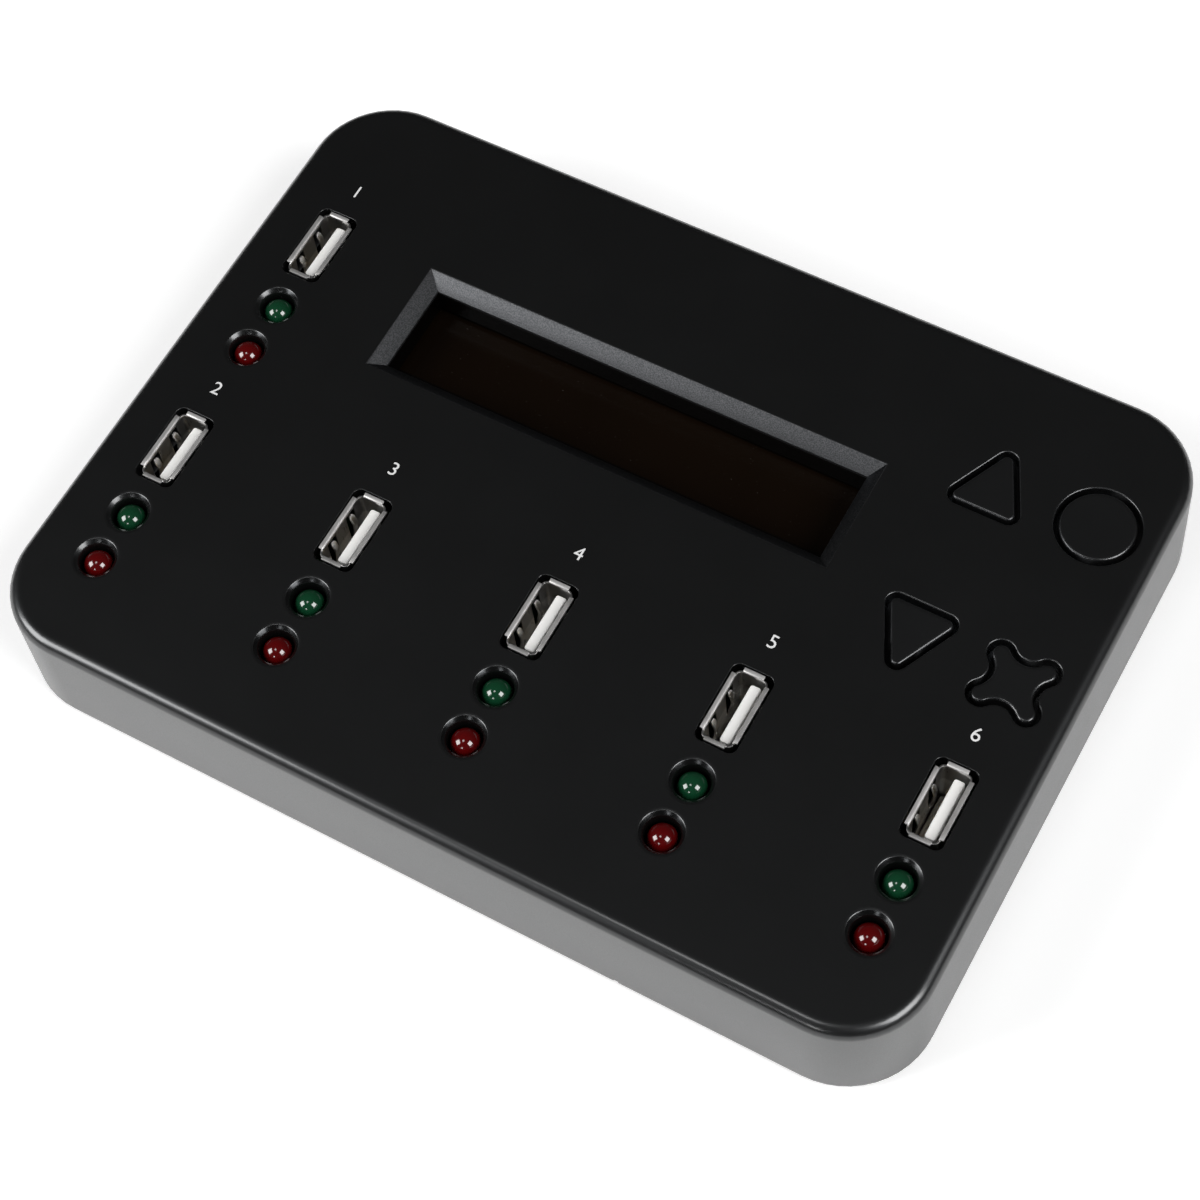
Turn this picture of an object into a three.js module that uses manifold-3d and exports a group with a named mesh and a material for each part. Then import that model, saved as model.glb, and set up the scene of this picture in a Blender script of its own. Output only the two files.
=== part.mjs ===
// Flash drive duplicator: a low plastic case with six upright USB sockets, a green and a red lamp for each socket,
// a character display in a bevelled window, and four shaped push buttons.
// Units are millimetres and +Z is up. The origin is on the table under the middle of the case, +X runs along the
// long side towards the buttons, and +Y runs to the rear.

import * as THREE from 'three';
import { mergeVertices } from 'three/addons/utils/BufferGeometryUtils.js';
import Module from 'manifold-3d';

const wasm = await Module();
wasm.setup();

// Case
const caseWidth = 164.5;
const caseDepth = 119.6;
const caseCornerRadius = 14.3;
const topEdgeRadius = 2.05;
const wallHeight = 21.3;
const wallDraft = 0.54; // how far each wall leans out from shoulder to lower edge
const wallThickness = 2.2;
const topThickness = 2.4;
const fitGap = 0.3; // between pieces that touch
const plateInset = 0.4; // the bottom plate sits this far above the lower edge of the walls
const plateThickness = 2;
const notchX = 35.5; // the notch in the front wall's lower edge
const notchWidth = 1;
const notchHeight = 0.9;
const boardClearance = 2; // between the bottom plate and the main board
const boardThickness = 1.6;
const boardSideMargin = 6; // from the case's outside to the main board's edge
const boardCornerRadius = 9;
const boardBossClearance = 1.4; // round the case's screw bosses

// Heights that follow from the case
const wallBottomZ = 2; // the feet lift the walls this far
const topZ = wallBottomZ + wallHeight;
const ceilingZ = topZ - topThickness;
const plateBottomZ = wallBottomZ + plateInset;
const plateTopZ = plateBottomZ + plateThickness;
const boardBottomZ = plateTopZ + boardClearance;
const boardTopZ = boardBottomZ + boardThickness;
const seatZ = boardTopZ + fitGap; // where parts stand on the main board

// Sockets and lamps: five in a front row, and the first one behind the left end of the row
const socketPitch = 35;
const rowMiddleX = 0.1;
const frontRowY = -18.8;
const firstSocketY = 26.75;
const frontRow = [-2, -1, 0, 1, 2].map((step) => [rowMiddleX + step * socketPitch, frontRowY]);
const socketPlaces = [[frontRow[0][0], firstSocketY], ...frontRow];
const mouthWidth = 5.12;
const mouthLength = 12.5;
const sheetThickness = 0.3;
const lipBendRadius = 0.4;
const lipBendAngle = THREE.MathUtils.degToRad(75);
const lipFlatWidth = 0.56; // the flat strip outside the bend
const longLipLength = 10.7;
const shortLipLength = 3.8;
const lipProud = 0.2; // lips stand this far over the top face
const cutoutWidth = 7.3;
const cutoutLength = 14.6;
const cutoutCornerRadius = 1.4;
const tongueThickness = 1.84;
const tongueWidth = 10.8;
const tongueOffset = 1;
const tongueDepthInMouth = 1;
const socketFloorDepth = 11;

const greenLampStep = 13.85; // from the socket's centre towards the front
const redLampStep = 23.5;
const lampRadius = 2.5;
const lampFlangeRadius = 2.9;
const lampHeight = 8.6;
const lampFlangeHeight = 1;
const lampDepth = 0.1; // the dome's top lies this far under the top face
const lampLeadSpacing = 2.54;
const lampLeadWidth = 0.5;
const bowlRadius = 3.75;
const bowlEdgeRadius = 3.05; // where the sloping dish meets the throat
const bowlEdgeDepth = 0.62;
const bowlThroatRadius = 2.85; // at the throat's narrow end
const bowlThroatDepth = 3.2;
const bowlBossRadius = 4.6;
const bowlBossDepth = 4.6;

// Display window and module
const windowCentreX = -6.75;
const windowCentreY = 20.47;
const windowWidth = 86.5;
const windowDepth = 21.6;
const bevelInset = 2.4;
const bevelDepth = 2.3;
const tunnelWall = 1.5;
const glassDepth = 8.1; // the display's glass lies this far under the top face
const glassWidth = 96;
const glassLength = 22.4;
const glassThickness = 2;
const frameWidth = 98;
const frameLength = 24.6;
const frameWall = 0.5;
const frameWindowWidth = 84;
const frameWindowLength = 18.4;
const displayBoardWidth = 110;
const displayBoardLength = 36;
const displayBoardGap = 1.2; // between the main board and the display board
const displayPillarRadius = 2;
const displayPillarX = 51.7;
const displayPillarY = 14.7;
const displayHeaderWidth = 40.6;
const displayHeaderLength = 2.5;
const displayHeaderY = 15.5;

const glassTopZ = topZ - glassDepth;
const frameTopZ = glassTopZ + fitGap + sheetThickness;
const displayBoardBottomZ = boardTopZ + displayBoardGap;
const displayBoardTopZ = displayBoardBottomZ + boardThickness;

// Buttons and the switches under them
const buttonRearY = 35.85;
const buttonFrontY = 4.7;
const triangleColumnX = 53.5;
const roundColumnX = 71.35;
const buttonGap = 0.85;
const buttonTravel = 0.6;
const triangleHalfWidth = 6.2;
const triangleHalfHeight = 6.3;
const triangleCornerRadius = 1.9;
const roundRadius = 7.05;
const crossReach = 6.2;
const crossLobeRadius = 2.35;
const crossWaist = 4.45;
const capEdge = 0.3;
const flangeOverlap = 0.8; // the cap's flange reaches this far under the edge of its hole
const flangeThickness = 1.2;
const stemRadius = 2;
const switchWidth = 6;
const switchHeight = 3.5;
const plungerRadius = 1.7;
const plungerHeight = 2.6;
const plungerTopAboveSwitch = 1;

// Rear wall: power inlet and power switch in a shallow flat pocket
const rearCentreZ = 14.8;
const rearFaceY = 59.5;
const inletX = -38;
const rockerX = -12;
const inletBodyWidth = 9;
const inletBodyHeight = 11;
const inletBodyDepth = 12;
const inletCollarRadius = 4.1;
const inletBoreRadius = 3.1;
const inletBoreDepth = 9.4;
const inletPinRadius = 1;
const inletPinSetback = 0.8; // the pin's tip lies this far inside the rear wall
const pocketMargin = 2.4;
const pocketHeight = 12;
const rockerBodyWidth = 13.4;
const rockerBodyHeight = 9;
const rockerBodyDepth = 10.5;
const rockerFlangeWidth = 15.6;
const rockerFlangeHeight = 11.2;
const rockerFlangeThickness = 0.9;
const rockerOpeningWidth = 12.2;
const rockerOpeningHeight = 7.6;
const rockerWidth = 11.4;
const rockerHeight = 7;
const rockerRimRise = 0.35; // the rocker's ends stand out this far past the flange, and its middle lies lower
const rockerMiddleDrop = 0.1;
const rockerSideDepth = 1;
const rockerBackDepth = 4.5;
const rockerFloorThickness = 2;
const rockerTilt = THREE.MathUtils.degToRad(8);
const rockerPivotDepth = 3; // the pivot lies this far inside the flange's front face

// Screws, bosses, feet
const screwX = 52.5;
const screwY = 52;
const bossRadius = 3.5;
const bossBoreRadius = 1.6;
const screwPadRadius = 4.5;
const screwPadHeight = 1.5;
const standoffRadius = 2.5;
const standoffY = 38;
const screwShankRadius = 1.3;
const screwShankLength = 9;
const screwHeadRadius = 2.7;
const screwHeadHeight = 1.6;
const screwSlotWidth = 0.6;
const footX = 68;
const footY = 46;
const footRadius = 5;
const footRecess = 0.4;

// Parts on the main board, in the free places between the lamps of neighbouring sockets
const boardPartsY = -32;
const chipWidth = 14;
const chipHeight = 1.6;
const crystalLength = 11;
const crystalWidth = 4.6;
const crystalHeight = 3.5;
const capacitorRadius = 4;
const capacitorHeight = 11;
const capacitorShoulder = 0.4;

// Colours and finishes
const finishes = {
  blackPlastic: { color: 0x1b1b1c, roughness: 0.5, metalness: 0 },
  buttonPlastic: { color: 0x1b1b1c, roughness: 0.5, metalness: 0 },
  nickel: { color: 0xcfcbc4, roughness: 0.25, metalness: 1 },
  whitePlastic: { color: 0xeceae4, roughness: 0.45, metalness: 0 },
  greenLens: { color: 0x146644, roughness: 0.15, metalness: 0 },
  redLens: { color: 0x8c0610, roughness: 0.15, metalness: 0 },
  displayGlass: { color: 0x140c08, roughness: 0.08, metalness: 0 },
  blackSteel: { color: 0x0d0d0e, roughness: 0.4, metalness: 0.6 },
  circuitBoard: { color: 0x123d23, roughness: 0.45, metalness: 0 },
  chipPlastic: { color: 0x161616, roughness: 0.6, metalness: 0 },
  steel: { color: 0x9a9a9c, roughness: 0.35, metalness: 1 },
  rubber: { color: 0x101010, roughness: 0.9, metalness: 0 },
  capacitorSleeve: { color: 0x1a1f33, roughness: 0.4, metalness: 0 },
};

const duplicator = new THREE.Group();

// Shape and solid helpers

function addPiece(name, geometry, finish, position = [0, 0, 0], turnZ = 0) {
  const piece = new THREE.Mesh(geometry, new THREE.MeshStandardMaterial(finishes[finish]));
  piece.name = name;
  piece.position.set(...position);
  piece.rotation.z = turnZ;
  duplicator.add(piece);
}

// A closed mesh becomes a solid: its shared corners are merged and slivers with two equal corners are left out.
function solidFrom(geometry) {
  const plain = geometry.clone();
  plain.deleteAttribute('normal');
  plain.deleteAttribute('uv');
  const merged = mergeVertices(plain, 1e-4);
  const corners = merged.index.array;
  const kept = [];
  for (let i = 0; i < corners.length; i += 3) {
    const [a, b, c] = corners.slice(i, i + 3);
    if (a !== b && b !== c && c !== a) {
      kept.push(a, b, c);
    }
  }
  const mesh = new wasm.Mesh({
    numProp: 3,
    vertProperties: merged.attributes.position.array,
    triVerts: new Uint32Array(kept),
  });
  return new wasm.Manifold(mesh);
}

function geometryFrom(solid) {
  const mesh = solid.getMesh();
  const geometry = new THREE.BufferGeometry();
  geometry.setAttribute('position', new THREE.BufferAttribute(mesh.vertProperties, 3));
  geometry.setIndex(new THREE.BufferAttribute(mesh.triVerts, 1));
  geometry.computeVertexNormals();
  return geometry;
}

function box(width, length, lowZ, highZ, x = 0, y = 0) {
  const geometry = new THREE.BoxGeometry(width, length, highZ - lowZ);
  return geometry.translate(x, y, (lowZ + highZ) / 2);
}

function post(radius, lowZ, highZ, x = 0, y = 0, segments = 14) {
  const geometry = new THREE.CylinderGeometry(radius, radius, highZ - lowZ, segments);
  return geometry.rotateX(Math.PI / 2).translate(x, y, (lowZ + highZ) / 2);
}

// A round bar along Y, for the inlet in the rear wall
function barAlongY(radius, nearY, farY, x, z, segments = 24) {
  const geometry = new THREE.CylinderGeometry(radius, radius, farY - nearY, segments);
  return geometry.translate(x, (nearY + farY) / 2, z);
}

function prism(shape, lowZ, highZ, curveSegments = 6) {
  const settings = { depth: highZ - lowZ, bevelEnabled: false, curveSegments };
  return new THREE.ExtrudeGeometry(shape, settings).translate(0, 0, lowZ);
}

// A profile of [radius, height] pairs, listed upwards and starting and ending on the axis, turned round Z
function turned(profile, segments) {
  const points = profile.map(([radius, height]) => new THREE.Vector2(radius, height));
  return new THREE.LatheGeometry(points, segments).rotateX(Math.PI / 2);
}

function roundedRectangle(width, length, radius) {
  const x = width / 2 - radius;
  const y = length / 2 - radius;
  const outline = new THREE.Shape();
  outline.absarc(x, y, radius, 0, Math.PI / 2);
  outline.absarc(-x, y, radius, Math.PI / 2, Math.PI);
  outline.absarc(-x, -y, radius, Math.PI, 1.5 * Math.PI);
  outline.absarc(x, -y, radius, 1.5 * Math.PI, 2 * Math.PI);
  return outline;
}

// The walls lean out towards the lower edge: a point moves out in proportion to its depth under the top face.
function leanOut(geometry) {
  const places = geometry.attributes.position;
  for (let i = 0; i < places.count; i += 1) {
    const lean = (wallDraft * (topZ - places.getZ(i))) / wallHeight;
    places.setX(i, places.getX(i) * (1 + (2 * lean) / caseWidth));
    places.setY(i, places.getY(i) * (1 + (2 * lean) / caseDepth));
  }
  return geometry;
}

// Outlines of the buttons. inset shrinks the outline evenly, and a negative inset grows it.

// Rounded triangle pointing to +Y: three corner arcs joined by straight sides. The arcs start and end where the
// sides' outward directions meet them.
function triangleOutline(inset) {
  const radius = triangleCornerRadius - inset;
  const x = triangleHalfWidth - triangleCornerRadius;
  const y = triangleHalfHeight - triangleCornerRadius;
  const sideTurn = Math.atan2(x, 2 * y);
  const outline = new THREE.Shape();
  outline.absarc(x, -y, radius, -Math.PI / 2, sideTurn);
  outline.absarc(0, y, radius, sideTurn, Math.PI - sideTurn);
  outline.absarc(-x, -y, radius, Math.PI - sideTurn, 1.5 * Math.PI);
  return outline;
}

function roundOutline(inset) {
  return new THREE.Shape().absarc(0, 0, roundRadius - inset, 0, 2 * Math.PI);
}

// Four lobes on the diagonals, joined by hollow arcs that meet the lobes smoothly
function crossOutline(inset) {
  const lobe = crossReach - crossLobeRadius;
  const spread = crossWaist - lobe;
  const hollowRadius =
    (lobe ** 2 + spread ** 2 - crossLobeRadius ** 2) / (2 * (crossLobeRadius - spread));
  const hollowCentre = crossWaist + hollowRadius;
  const meet = Math.atan2(lobe, hollowCentre - lobe);
  const outline = new THREE.Shape();
  for (const quarter of [0, 1, 2, 3]) {
    const turn = (quarter * Math.PI) / 2;
    const axis = new THREE.Vector2(hollowCentre, 0).rotateAround(new THREE.Vector2(), turn);
    const centre = new THREE.Vector2(lobe, lobe).rotateAround(new THREE.Vector2(), turn);
    const hollow = hollowRadius + inset;
    outline.absarc(axis.x, axis.y, hollow, turn + Math.PI + meet, turn + Math.PI - meet, true);
    outline.absarc(
      centre.x, centre.y, crossLobeRadius - inset, turn - meet, turn + Math.PI / 2 + meet);
  }
  return outline;
}

const buttons = [
  { name: 'up', outline: triangleOutline, x: triangleColumnX, y: buttonRearY, turn: 0 },
  { name: 'down', outline: triangleOutline, x: triangleColumnX, y: buttonFrontY, turn: Math.PI },
  { name: 'round', outline: roundOutline, x: roundColumnX, y: buttonRearY, turn: 0 },
  { name: 'cross', outline: crossOutline, x: roundColumnX, y: buttonFrontY, turn: 0 },
];

const corners = [[-1, -1], [1, -1], [-1, 1], [1, 1]];

// Case

function caseOutside() {
  const outline = roundedRectangle(
    caseWidth - 2 * topEdgeRadius, caseDepth - 2 * topEdgeRadius, caseCornerRadius - topEdgeRadius);
  const settings = {
    depth: wallHeight,
    bevelSize: topEdgeRadius,
    bevelThickness: topEdgeRadius,
    bevelSegments: 3,
    curveSegments: 6,
  };
  const body = new THREE.ExtrudeGeometry(outline, settings);
  body.translate(0, 0, topZ - topEdgeRadius - wallHeight);
  const below = box(2 * caseWidth, 2 * caseDepth, -wallHeight, wallBottomZ);
  return solidFrom(leanOut(body)).subtract(solidFrom(below));
}

function caseInside(gap, lowZ, highZ) {
  const inset = wallThickness + gap;
  const outline = roundedRectangle(
    caseWidth - 2 * inset, caseDepth - 2 * inset, caseCornerRadius - inset);
  return solidFrom(leanOut(prism(outline, lowZ, highZ, 6)));
}

// The window's cut: a straight-sided well with bevelled sides that open out to the top face
function windowCut() {
  const outline = new THREE.Shape();
  const x = windowWidth / 2 - bevelInset;
  const y = windowDepth / 2 - bevelInset;
  outline.moveTo(-x, -y).lineTo(x, -y).lineTo(x, y).lineTo(-x, y);
  const settings = {
    depth: topThickness, bevelSize: bevelInset, bevelThickness: bevelDepth, bevelSegments: 1,
  };
  const funnel = new THREE.ExtrudeGeometry(outline, settings);
  funnel.translate(windowCentreX, windowCentreY, topZ);
  const well = box(2 * x, 2 * y, boardTopZ, topZ, windowCentreX, windowCentreY);
  return solidFrom(funnel).add(solidFrom(well));
}

// A lamp's bowl: a shallow sloping dish, then a throat that narrows and goes straight through the boss
function bowlCut() {
  const profile = [
    [0, -bowlBossDepth - 1],
    [bowlThroatRadius, -bowlBossDepth - 1],
    [bowlThroatRadius, -bowlThroatDepth],
    [bowlEdgeRadius, -bowlEdgeDepth],
    [bowlRadius, 0],
    [bowlRadius, 1],
    [0, 1],
  ];
  return solidFrom(turned(profile, 16));
}

function lampPlaces() {
  return socketPlaces.flatMap(
    ([x, y]) => [[x, y - greenLampStep], [x, y - redLampStep]]);
}

function topCover() {
  let cover = caseOutside().subtract(caseInside(0, 0, ceilingZ));
  const tunnelWidth = windowWidth - 2 * bevelInset + 2 * tunnelWall;
  const tunnelLength = windowDepth - 2 * bevelInset + 2 * tunnelWall;
  const tunnel = box(
    tunnelWidth, tunnelLength, frameTopZ + fitGap, ceilingZ + 1, windowCentreX, windowCentreY);
  cover = cover.add(solidFrom(tunnel));
  const bowl = bowlCut();
  const bowlPlaces = lampPlaces();
  for (const [x, y] of bowlPlaces) {
    cover = cover.add(solidFrom(post(bowlBossRadius, topZ - bowlBossDepth, ceilingZ + 1, x, y, 10)));
  }
  for (const [sideX, sideY] of corners) {
    const bossBottomZ = plateTopZ + screwPadHeight + fitGap;
    const x = sideX * screwX;
    const y = sideY * screwY;
    const boss = solidFrom(post(bossRadius, bossBottomZ, ceilingZ + 1, x, y));
    const bore = solidFrom(post(bossBoreRadius, bossBottomZ - 1, ceilingZ - 1, x, y, 8));
    const pillar = post(
      displayPillarRadius, displayBoardTopZ + fitGap, ceilingZ + 1,
      windowCentreX + sideX * displayPillarX, windowCentreY + sideY * displayPillarY, 8);
    cover = cover.add(boss).subtract(bore).add(solidFrom(pillar));
  }
  cover = cover.subtract(windowCut());
  for (const [x, y] of bowlPlaces) {
    cover = cover.subtract(bowl.translate([x, y, topZ]));
  }
  for (const [x, y] of socketPlaces) {
    const outline = roundedRectangle(cutoutWidth, cutoutLength, cutoutCornerRadius);
    const cutout = prism(outline, ceilingZ - 1, topZ + 1, 3).translate(x, y, 0);
    cover = cover.subtract(solidFrom(cutout));
  }
  for (const { outline, x, y, turn } of buttons) {
    const hole = prism(outline(0), ceilingZ - 1, topZ + 1, outline === roundOutline ? 12 : 3);
    cover = cover.subtract(solidFrom(hole.rotateZ(turn).translate(x, y, 0)));
  }
  return geometryFrom(cover.subtract(rearCuts()).subtract(pryNotch()));
}

function rearCuts() {
  const left = inletX - inletCollarRadius - pocketMargin;
  const right = rockerX + rockerFlangeWidth / 2 + pocketMargin;
  const pocket = box(
    right - left, wallThickness, rearCentreZ - pocketHeight / 2, rearCentreZ + pocketHeight / 2,
    (left + right) / 2, rearFaceY + wallThickness / 2);
  const inletHole = barAlongY(
    inletCollarRadius + fitGap, rearFaceY - 2 * wallThickness, rearFaceY + 1, inletX, rearCentreZ);
  const halfHeight = rockerBodyHeight / 2 + fitGap;
  const rockerHole = box(
    rockerBodyWidth + 2 * fitGap, 4 * wallThickness, rearCentreZ - halfHeight,
    rearCentreZ + halfHeight, rockerX, rearFaceY);
  return solidFrom(pocket).add(solidFrom(inletHole)).add(solidFrom(rockerHole));
}

// A small notch in the front wall's lower edge, for prising the bottom plate off
function pryNotch() {
  const notchTopZ = wallBottomZ + notchHeight;
  return solidFrom(
    box(notchWidth, 4 * wallThickness, wallBottomZ - 1, notchTopZ, notchX, -caseDepth / 2));
}

function bottomPlate() {
  let plate = caseInside(fitGap, plateBottomZ, plateTopZ);
  for (const [sideX, sideY] of corners) {
    const x = sideX * screwX;
    const y = sideY * screwY;
    const padTopZ = plateTopZ + screwPadHeight;
    const pad = solidFrom(post(screwPadRadius, plateBottomZ + 1, padTopZ, x, y));
    const hole = solidFrom(post(screwShankRadius + fitGap, 0, padTopZ + 1, x, y, 8));
    const headRoom = solidFrom(
      post(screwHeadRadius + fitGap, 0, plateBottomZ + screwHeadHeight + 2 * fitGap, x, y, 12));
    const standoff = solidFrom(
      post(standoffRadius, plateTopZ - 1, boardBottomZ - fitGap, sideX * screwX, sideY * standoffY, 8));
    const footSeat = solidFrom(
      post(footRadius + fitGap, 0, plateBottomZ + footRecess, sideX * footX, sideY * footY));
    plate = plate.add(pad).add(standoff).subtract(hole).subtract(headRoom).subtract(footSeat);
  }
  return geometryFrom(plate);
}

// A pan head screw seen from below: head with a cross slot, and a shank that points up into the boss
function caseScrew() {
  const shank = post(
    screwShankRadius, screwHeadHeight / 2, screwHeadHeight + screwShankLength, 0, 0, 8);
  const head = turned([
    [0, 0],
    [screwHeadRadius * 0.7, 0],
    [screwHeadRadius, screwHeadHeight * 0.45],
    [screwHeadRadius, screwHeadHeight],
    [0, screwHeadHeight],
  ], 14);
  const slotLength = screwHeadRadius * 1.2;
  const slotDepth = screwHeadHeight / 2;
  return geometryFrom(
    solidFrom(head)
      .add(solidFrom(shank))
      .subtract(solidFrom(box(slotLength, screwSlotWidth, -1, slotDepth)))
      .subtract(solidFrom(box(screwSlotWidth, slotLength, -1, slotDepth))));
}

function rubberFoot() {
  const height = plateBottomZ + footRecess - fitGap;
  return turned([
    [0, 0],
    [footRadius * 0.86, 0],
    [footRadius, height * 0.3],
    [footRadius, height],
    [0, height],
  ], 18);
}

// Electronics

function mainBoard() {
  const outline = roundedRectangle(
    caseWidth - 2 * boardSideMargin, caseDepth - 2 * boardSideMargin, boardCornerRadius);
  let board = solidFrom(prism(outline, boardBottomZ, boardTopZ));
  for (const [sideX, sideY] of corners) {
    const notch = post(
      bossRadius + boardBossClearance, boardBottomZ - 1, boardTopZ + 1, sideX * screwX,
      sideY * screwY);
    board = board.subtract(solidFrom(notch));
  }
  return geometryFrom(board);
}

// The folded shell of a socket, with its foot at z = 0: a square tube with a lip turned out on each side
function socketShell(height) {
  const lipRise = lipBendRadius * Math.sin(lipBendAngle) + lipFlatWidth * Math.cos(lipBendAngle);
  const bendStartZ = height - lipRise;
  const outer = box(mouthWidth + 2 * sheetThickness, mouthLength + 2 * sheetThickness, 0, bendStartZ);
  const inner = box(mouthWidth, mouthLength, -1, bendStartZ + 1);
  let shell = solidFrom(outer).subtract(solidFrom(inner));
  const lips = [
    [mouthWidth / 2, longLipLength, 0],
    [mouthLength / 2, shortLipLength, Math.PI / 2],
    [mouthWidth / 2, longLipLength, Math.PI],
    [mouthLength / 2, shortLipLength, 1.5 * Math.PI],
  ];
  for (const [reach, length, turn] of lips) {
    shell = shell.add(solidFrom(socketLip(reach, length, bendStartZ).rotateZ(turn)));
  }
  return geometryFrom(shell);
}

// One lip: the sheet's section bends outward through an arc and ends in a flat strip, and is carried along the
// mouth's side.
function socketLip(reach, length, bendStartZ) {
  const centreX = reach + lipBendRadius;
  const bendEnd = Math.PI - lipBendAngle;
  const flatX = lipFlatWidth * Math.sin(lipBendAngle);
  const flatZ = lipFlatWidth * Math.cos(lipBendAngle);
  const section = new THREE.Shape();
  section.moveTo(reach + sheetThickness, bendStartZ - 1);
  section.absarc(centreX, bendStartZ, lipBendRadius - sheetThickness, Math.PI, bendEnd, true);
  for (const radius of [lipBendRadius - sheetThickness, lipBendRadius]) {
    const endX = centreX + radius * Math.cos(bendEnd);
    const endZ = bendStartZ + radius * Math.sin(bendEnd);
    section.lineTo(endX + flatX, endZ + flatZ);
  }
  section.absarc(centreX, bendStartZ, lipBendRadius, bendEnd, Math.PI);
  section.lineTo(reach, bendStartZ - 1);
  const lip = new THREE.ExtrudeGeometry(
    section, { depth: length, bevelEnabled: false, curveSegments: 3 });
  return lip.translate(0, 0, -length / 2).rotateX(Math.PI / 2);
}

function socketInsulator(height) {
  const floorZ = height - socketFloorDepth;
  const base = box(mouthWidth - 2 * fitGap, mouthLength - 2 * fitGap, 0, floorZ);
  const tongue = box(
    tongueThickness, tongueWidth, floorZ - 1, height - tongueDepthInMouth, tongueOffset, 0);
  return geometryFrom(solidFrom(base).add(solidFrom(tongue)));
}

// A lamp with its flange's underside at z = 0: round flange, straight body, half-round dome and two leads
function lamp(leadLength) {
  const domeSteps = 4;
  const domeCentreZ = lampHeight - lampRadius;
  const profile = [
    [0, 0], [lampFlangeRadius, 0], [lampFlangeRadius, lampFlangeHeight], [lampRadius, lampFlangeHeight],
  ];
  for (let i = 0; i < domeSteps; i += 1) {
    const angle = (i / domeSteps) * (Math.PI / 2);
    profile.push([lampRadius * Math.cos(angle), domeCentreZ + lampRadius * Math.sin(angle)]);
  }
  profile.push([0, lampHeight]);
  let body = solidFrom(turned(profile, 14));
  for (const side of [-1, 1]) {
    const lead = box(
      lampLeadWidth, lampLeadWidth, -leadLength, lampFlangeHeight / 2, (side * lampLeadSpacing) / 2);
    body = body.add(solidFrom(lead));
  }
  return geometryFrom(body);
}

// Display

function displayFrame() {
  const lowZ = displayBoardTopZ + fitGap;
  const lipBottomZ = frameTopZ - sheetThickness;
  const outer = box(frameWidth, frameLength, lowZ, frameTopZ);
  const room = box(frameWidth - 2 * frameWall, frameLength - 2 * frameWall, lowZ - 1, lipBottomZ);
  const opening = box(frameWindowWidth, frameWindowLength, lowZ, frameTopZ + 1);
  return geometryFrom(
    solidFrom(outer).subtract(solidFrom(room)).subtract(solidFrom(opening)));
}

// Buttons: cap, flange under the cover, and stem down to the switch, all measured from the cap's top at z = 0
function buttonCap(outline) {
  const curveSegments = outline === roundOutline ? 12 : 3;
  const flangeTop = -topThickness - fitGap;
  const flangeBottom = flangeTop - flangeThickness;
  const settings = {
    depth: -flangeTop - capEdge + flangeThickness / 2,
    bevelSize: capEdge,
    bevelThickness: capEdge,
    bevelSegments: 1,
    curveSegments,
  };
  const head = new THREE.ExtrudeGeometry(outline(buttonGap + capEdge), settings);
  head.translate(0, 0, -settings.depth - capEdge);
  const flange = prism(outline(-flangeOverlap), flangeBottom, flangeTop, curveSegments);
  const plungerTop = seatZ + switchHeight + plungerTopAboveSwitch - topZ;
  const stem = post(stemRadius, plungerTop + fitGap, flangeBottom + flangeThickness / 2, 0, 0, 12);
  return geometryFrom(solidFrom(head).add(solidFrom(flange)).add(solidFrom(stem)));
}

function switchHousing() {
  const body = box(switchWidth, switchWidth, 0, switchHeight);
  const well = post(
    plungerRadius + fitGap, switchHeight + plungerTopAboveSwitch - plungerHeight - buttonTravel - fitGap,
    switchHeight + 1);
  return geometryFrom(solidFrom(body).subtract(solidFrom(well)));
}

// Rear wall pieces

function powerInlet() {
  const wallInsideY = rearFaceY - wallThickness;
  const bodyRearY = wallInsideY - fitGap;
  const body = box(
    inletBodyWidth, inletBodyDepth, seatZ, seatZ + inletBodyHeight, inletX,
    bodyRearY - inletBodyDepth / 2);
  const collar = barAlongY(inletCollarRadius, bodyRearY - 1, rearFaceY + fitGap, inletX, rearCentreZ);
  const bore = barAlongY(
    inletBoreRadius, rearFaceY + fitGap - inletBoreDepth, rearFaceY + 1, inletX, rearCentreZ);
  return geometryFrom(solidFrom(body).add(solidFrom(collar)).subtract(solidFrom(bore)));
}

function inletPin() {
  const nearY = rearFaceY + 2 * fitGap - inletBoreDepth;
  return barAlongY(inletPinRadius, nearY, rearFaceY - inletPinSetback, inletX, rearCentreZ, 12);
}

function rockerHousing() {
  const flangeFrontY = rearFaceY + fitGap + rockerFlangeThickness;
  const flangeBackY = rearFaceY + fitGap;
  const flange = box(
    rockerFlangeWidth, rockerFlangeThickness, -rockerFlangeHeight / 2, rockerFlangeHeight / 2, 0,
    (flangeBackY + flangeFrontY) / 2);
  const body = box(
    rockerBodyWidth, rockerBodyDepth, -rockerBodyHeight / 2, rockerBodyHeight / 2, 0,
    flangeFrontY - rockerBodyDepth / 2);
  const well = box(
    rockerOpeningWidth, rockerBodyDepth, -rockerOpeningHeight / 2, rockerOpeningHeight / 2, 0,
    flangeFrontY - rockerBodyDepth / 2 + rockerFloorThickness);
  const housing = solidFrom(flange).add(solidFrom(body)).subtract(solidFrom(well));
  return geometryFrom(housing).translate(rockerX, 0, rearCentreZ);
}

// The rocker about its pivot: a shallow V to the rear, a round back, the same section all the way up
function rocker() {
  const half = rockerWidth / 2;
  const rimY = rockerPivotDepth + rockerRimRise;
  const section = new THREE.Shape();
  section.moveTo(-half, rimY);
  section.lineTo(-half, -rockerSideDepth);
  section.quadraticCurveTo(0, -rockerBackDepth, half, -rockerSideDepth);
  section.lineTo(half, rimY);
  section.lineTo(0, rockerPivotDepth - rockerMiddleDrop);
  return prism(section, -rockerHeight / 2, rockerHeight / 2, 6);
}

// Assembly

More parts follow.
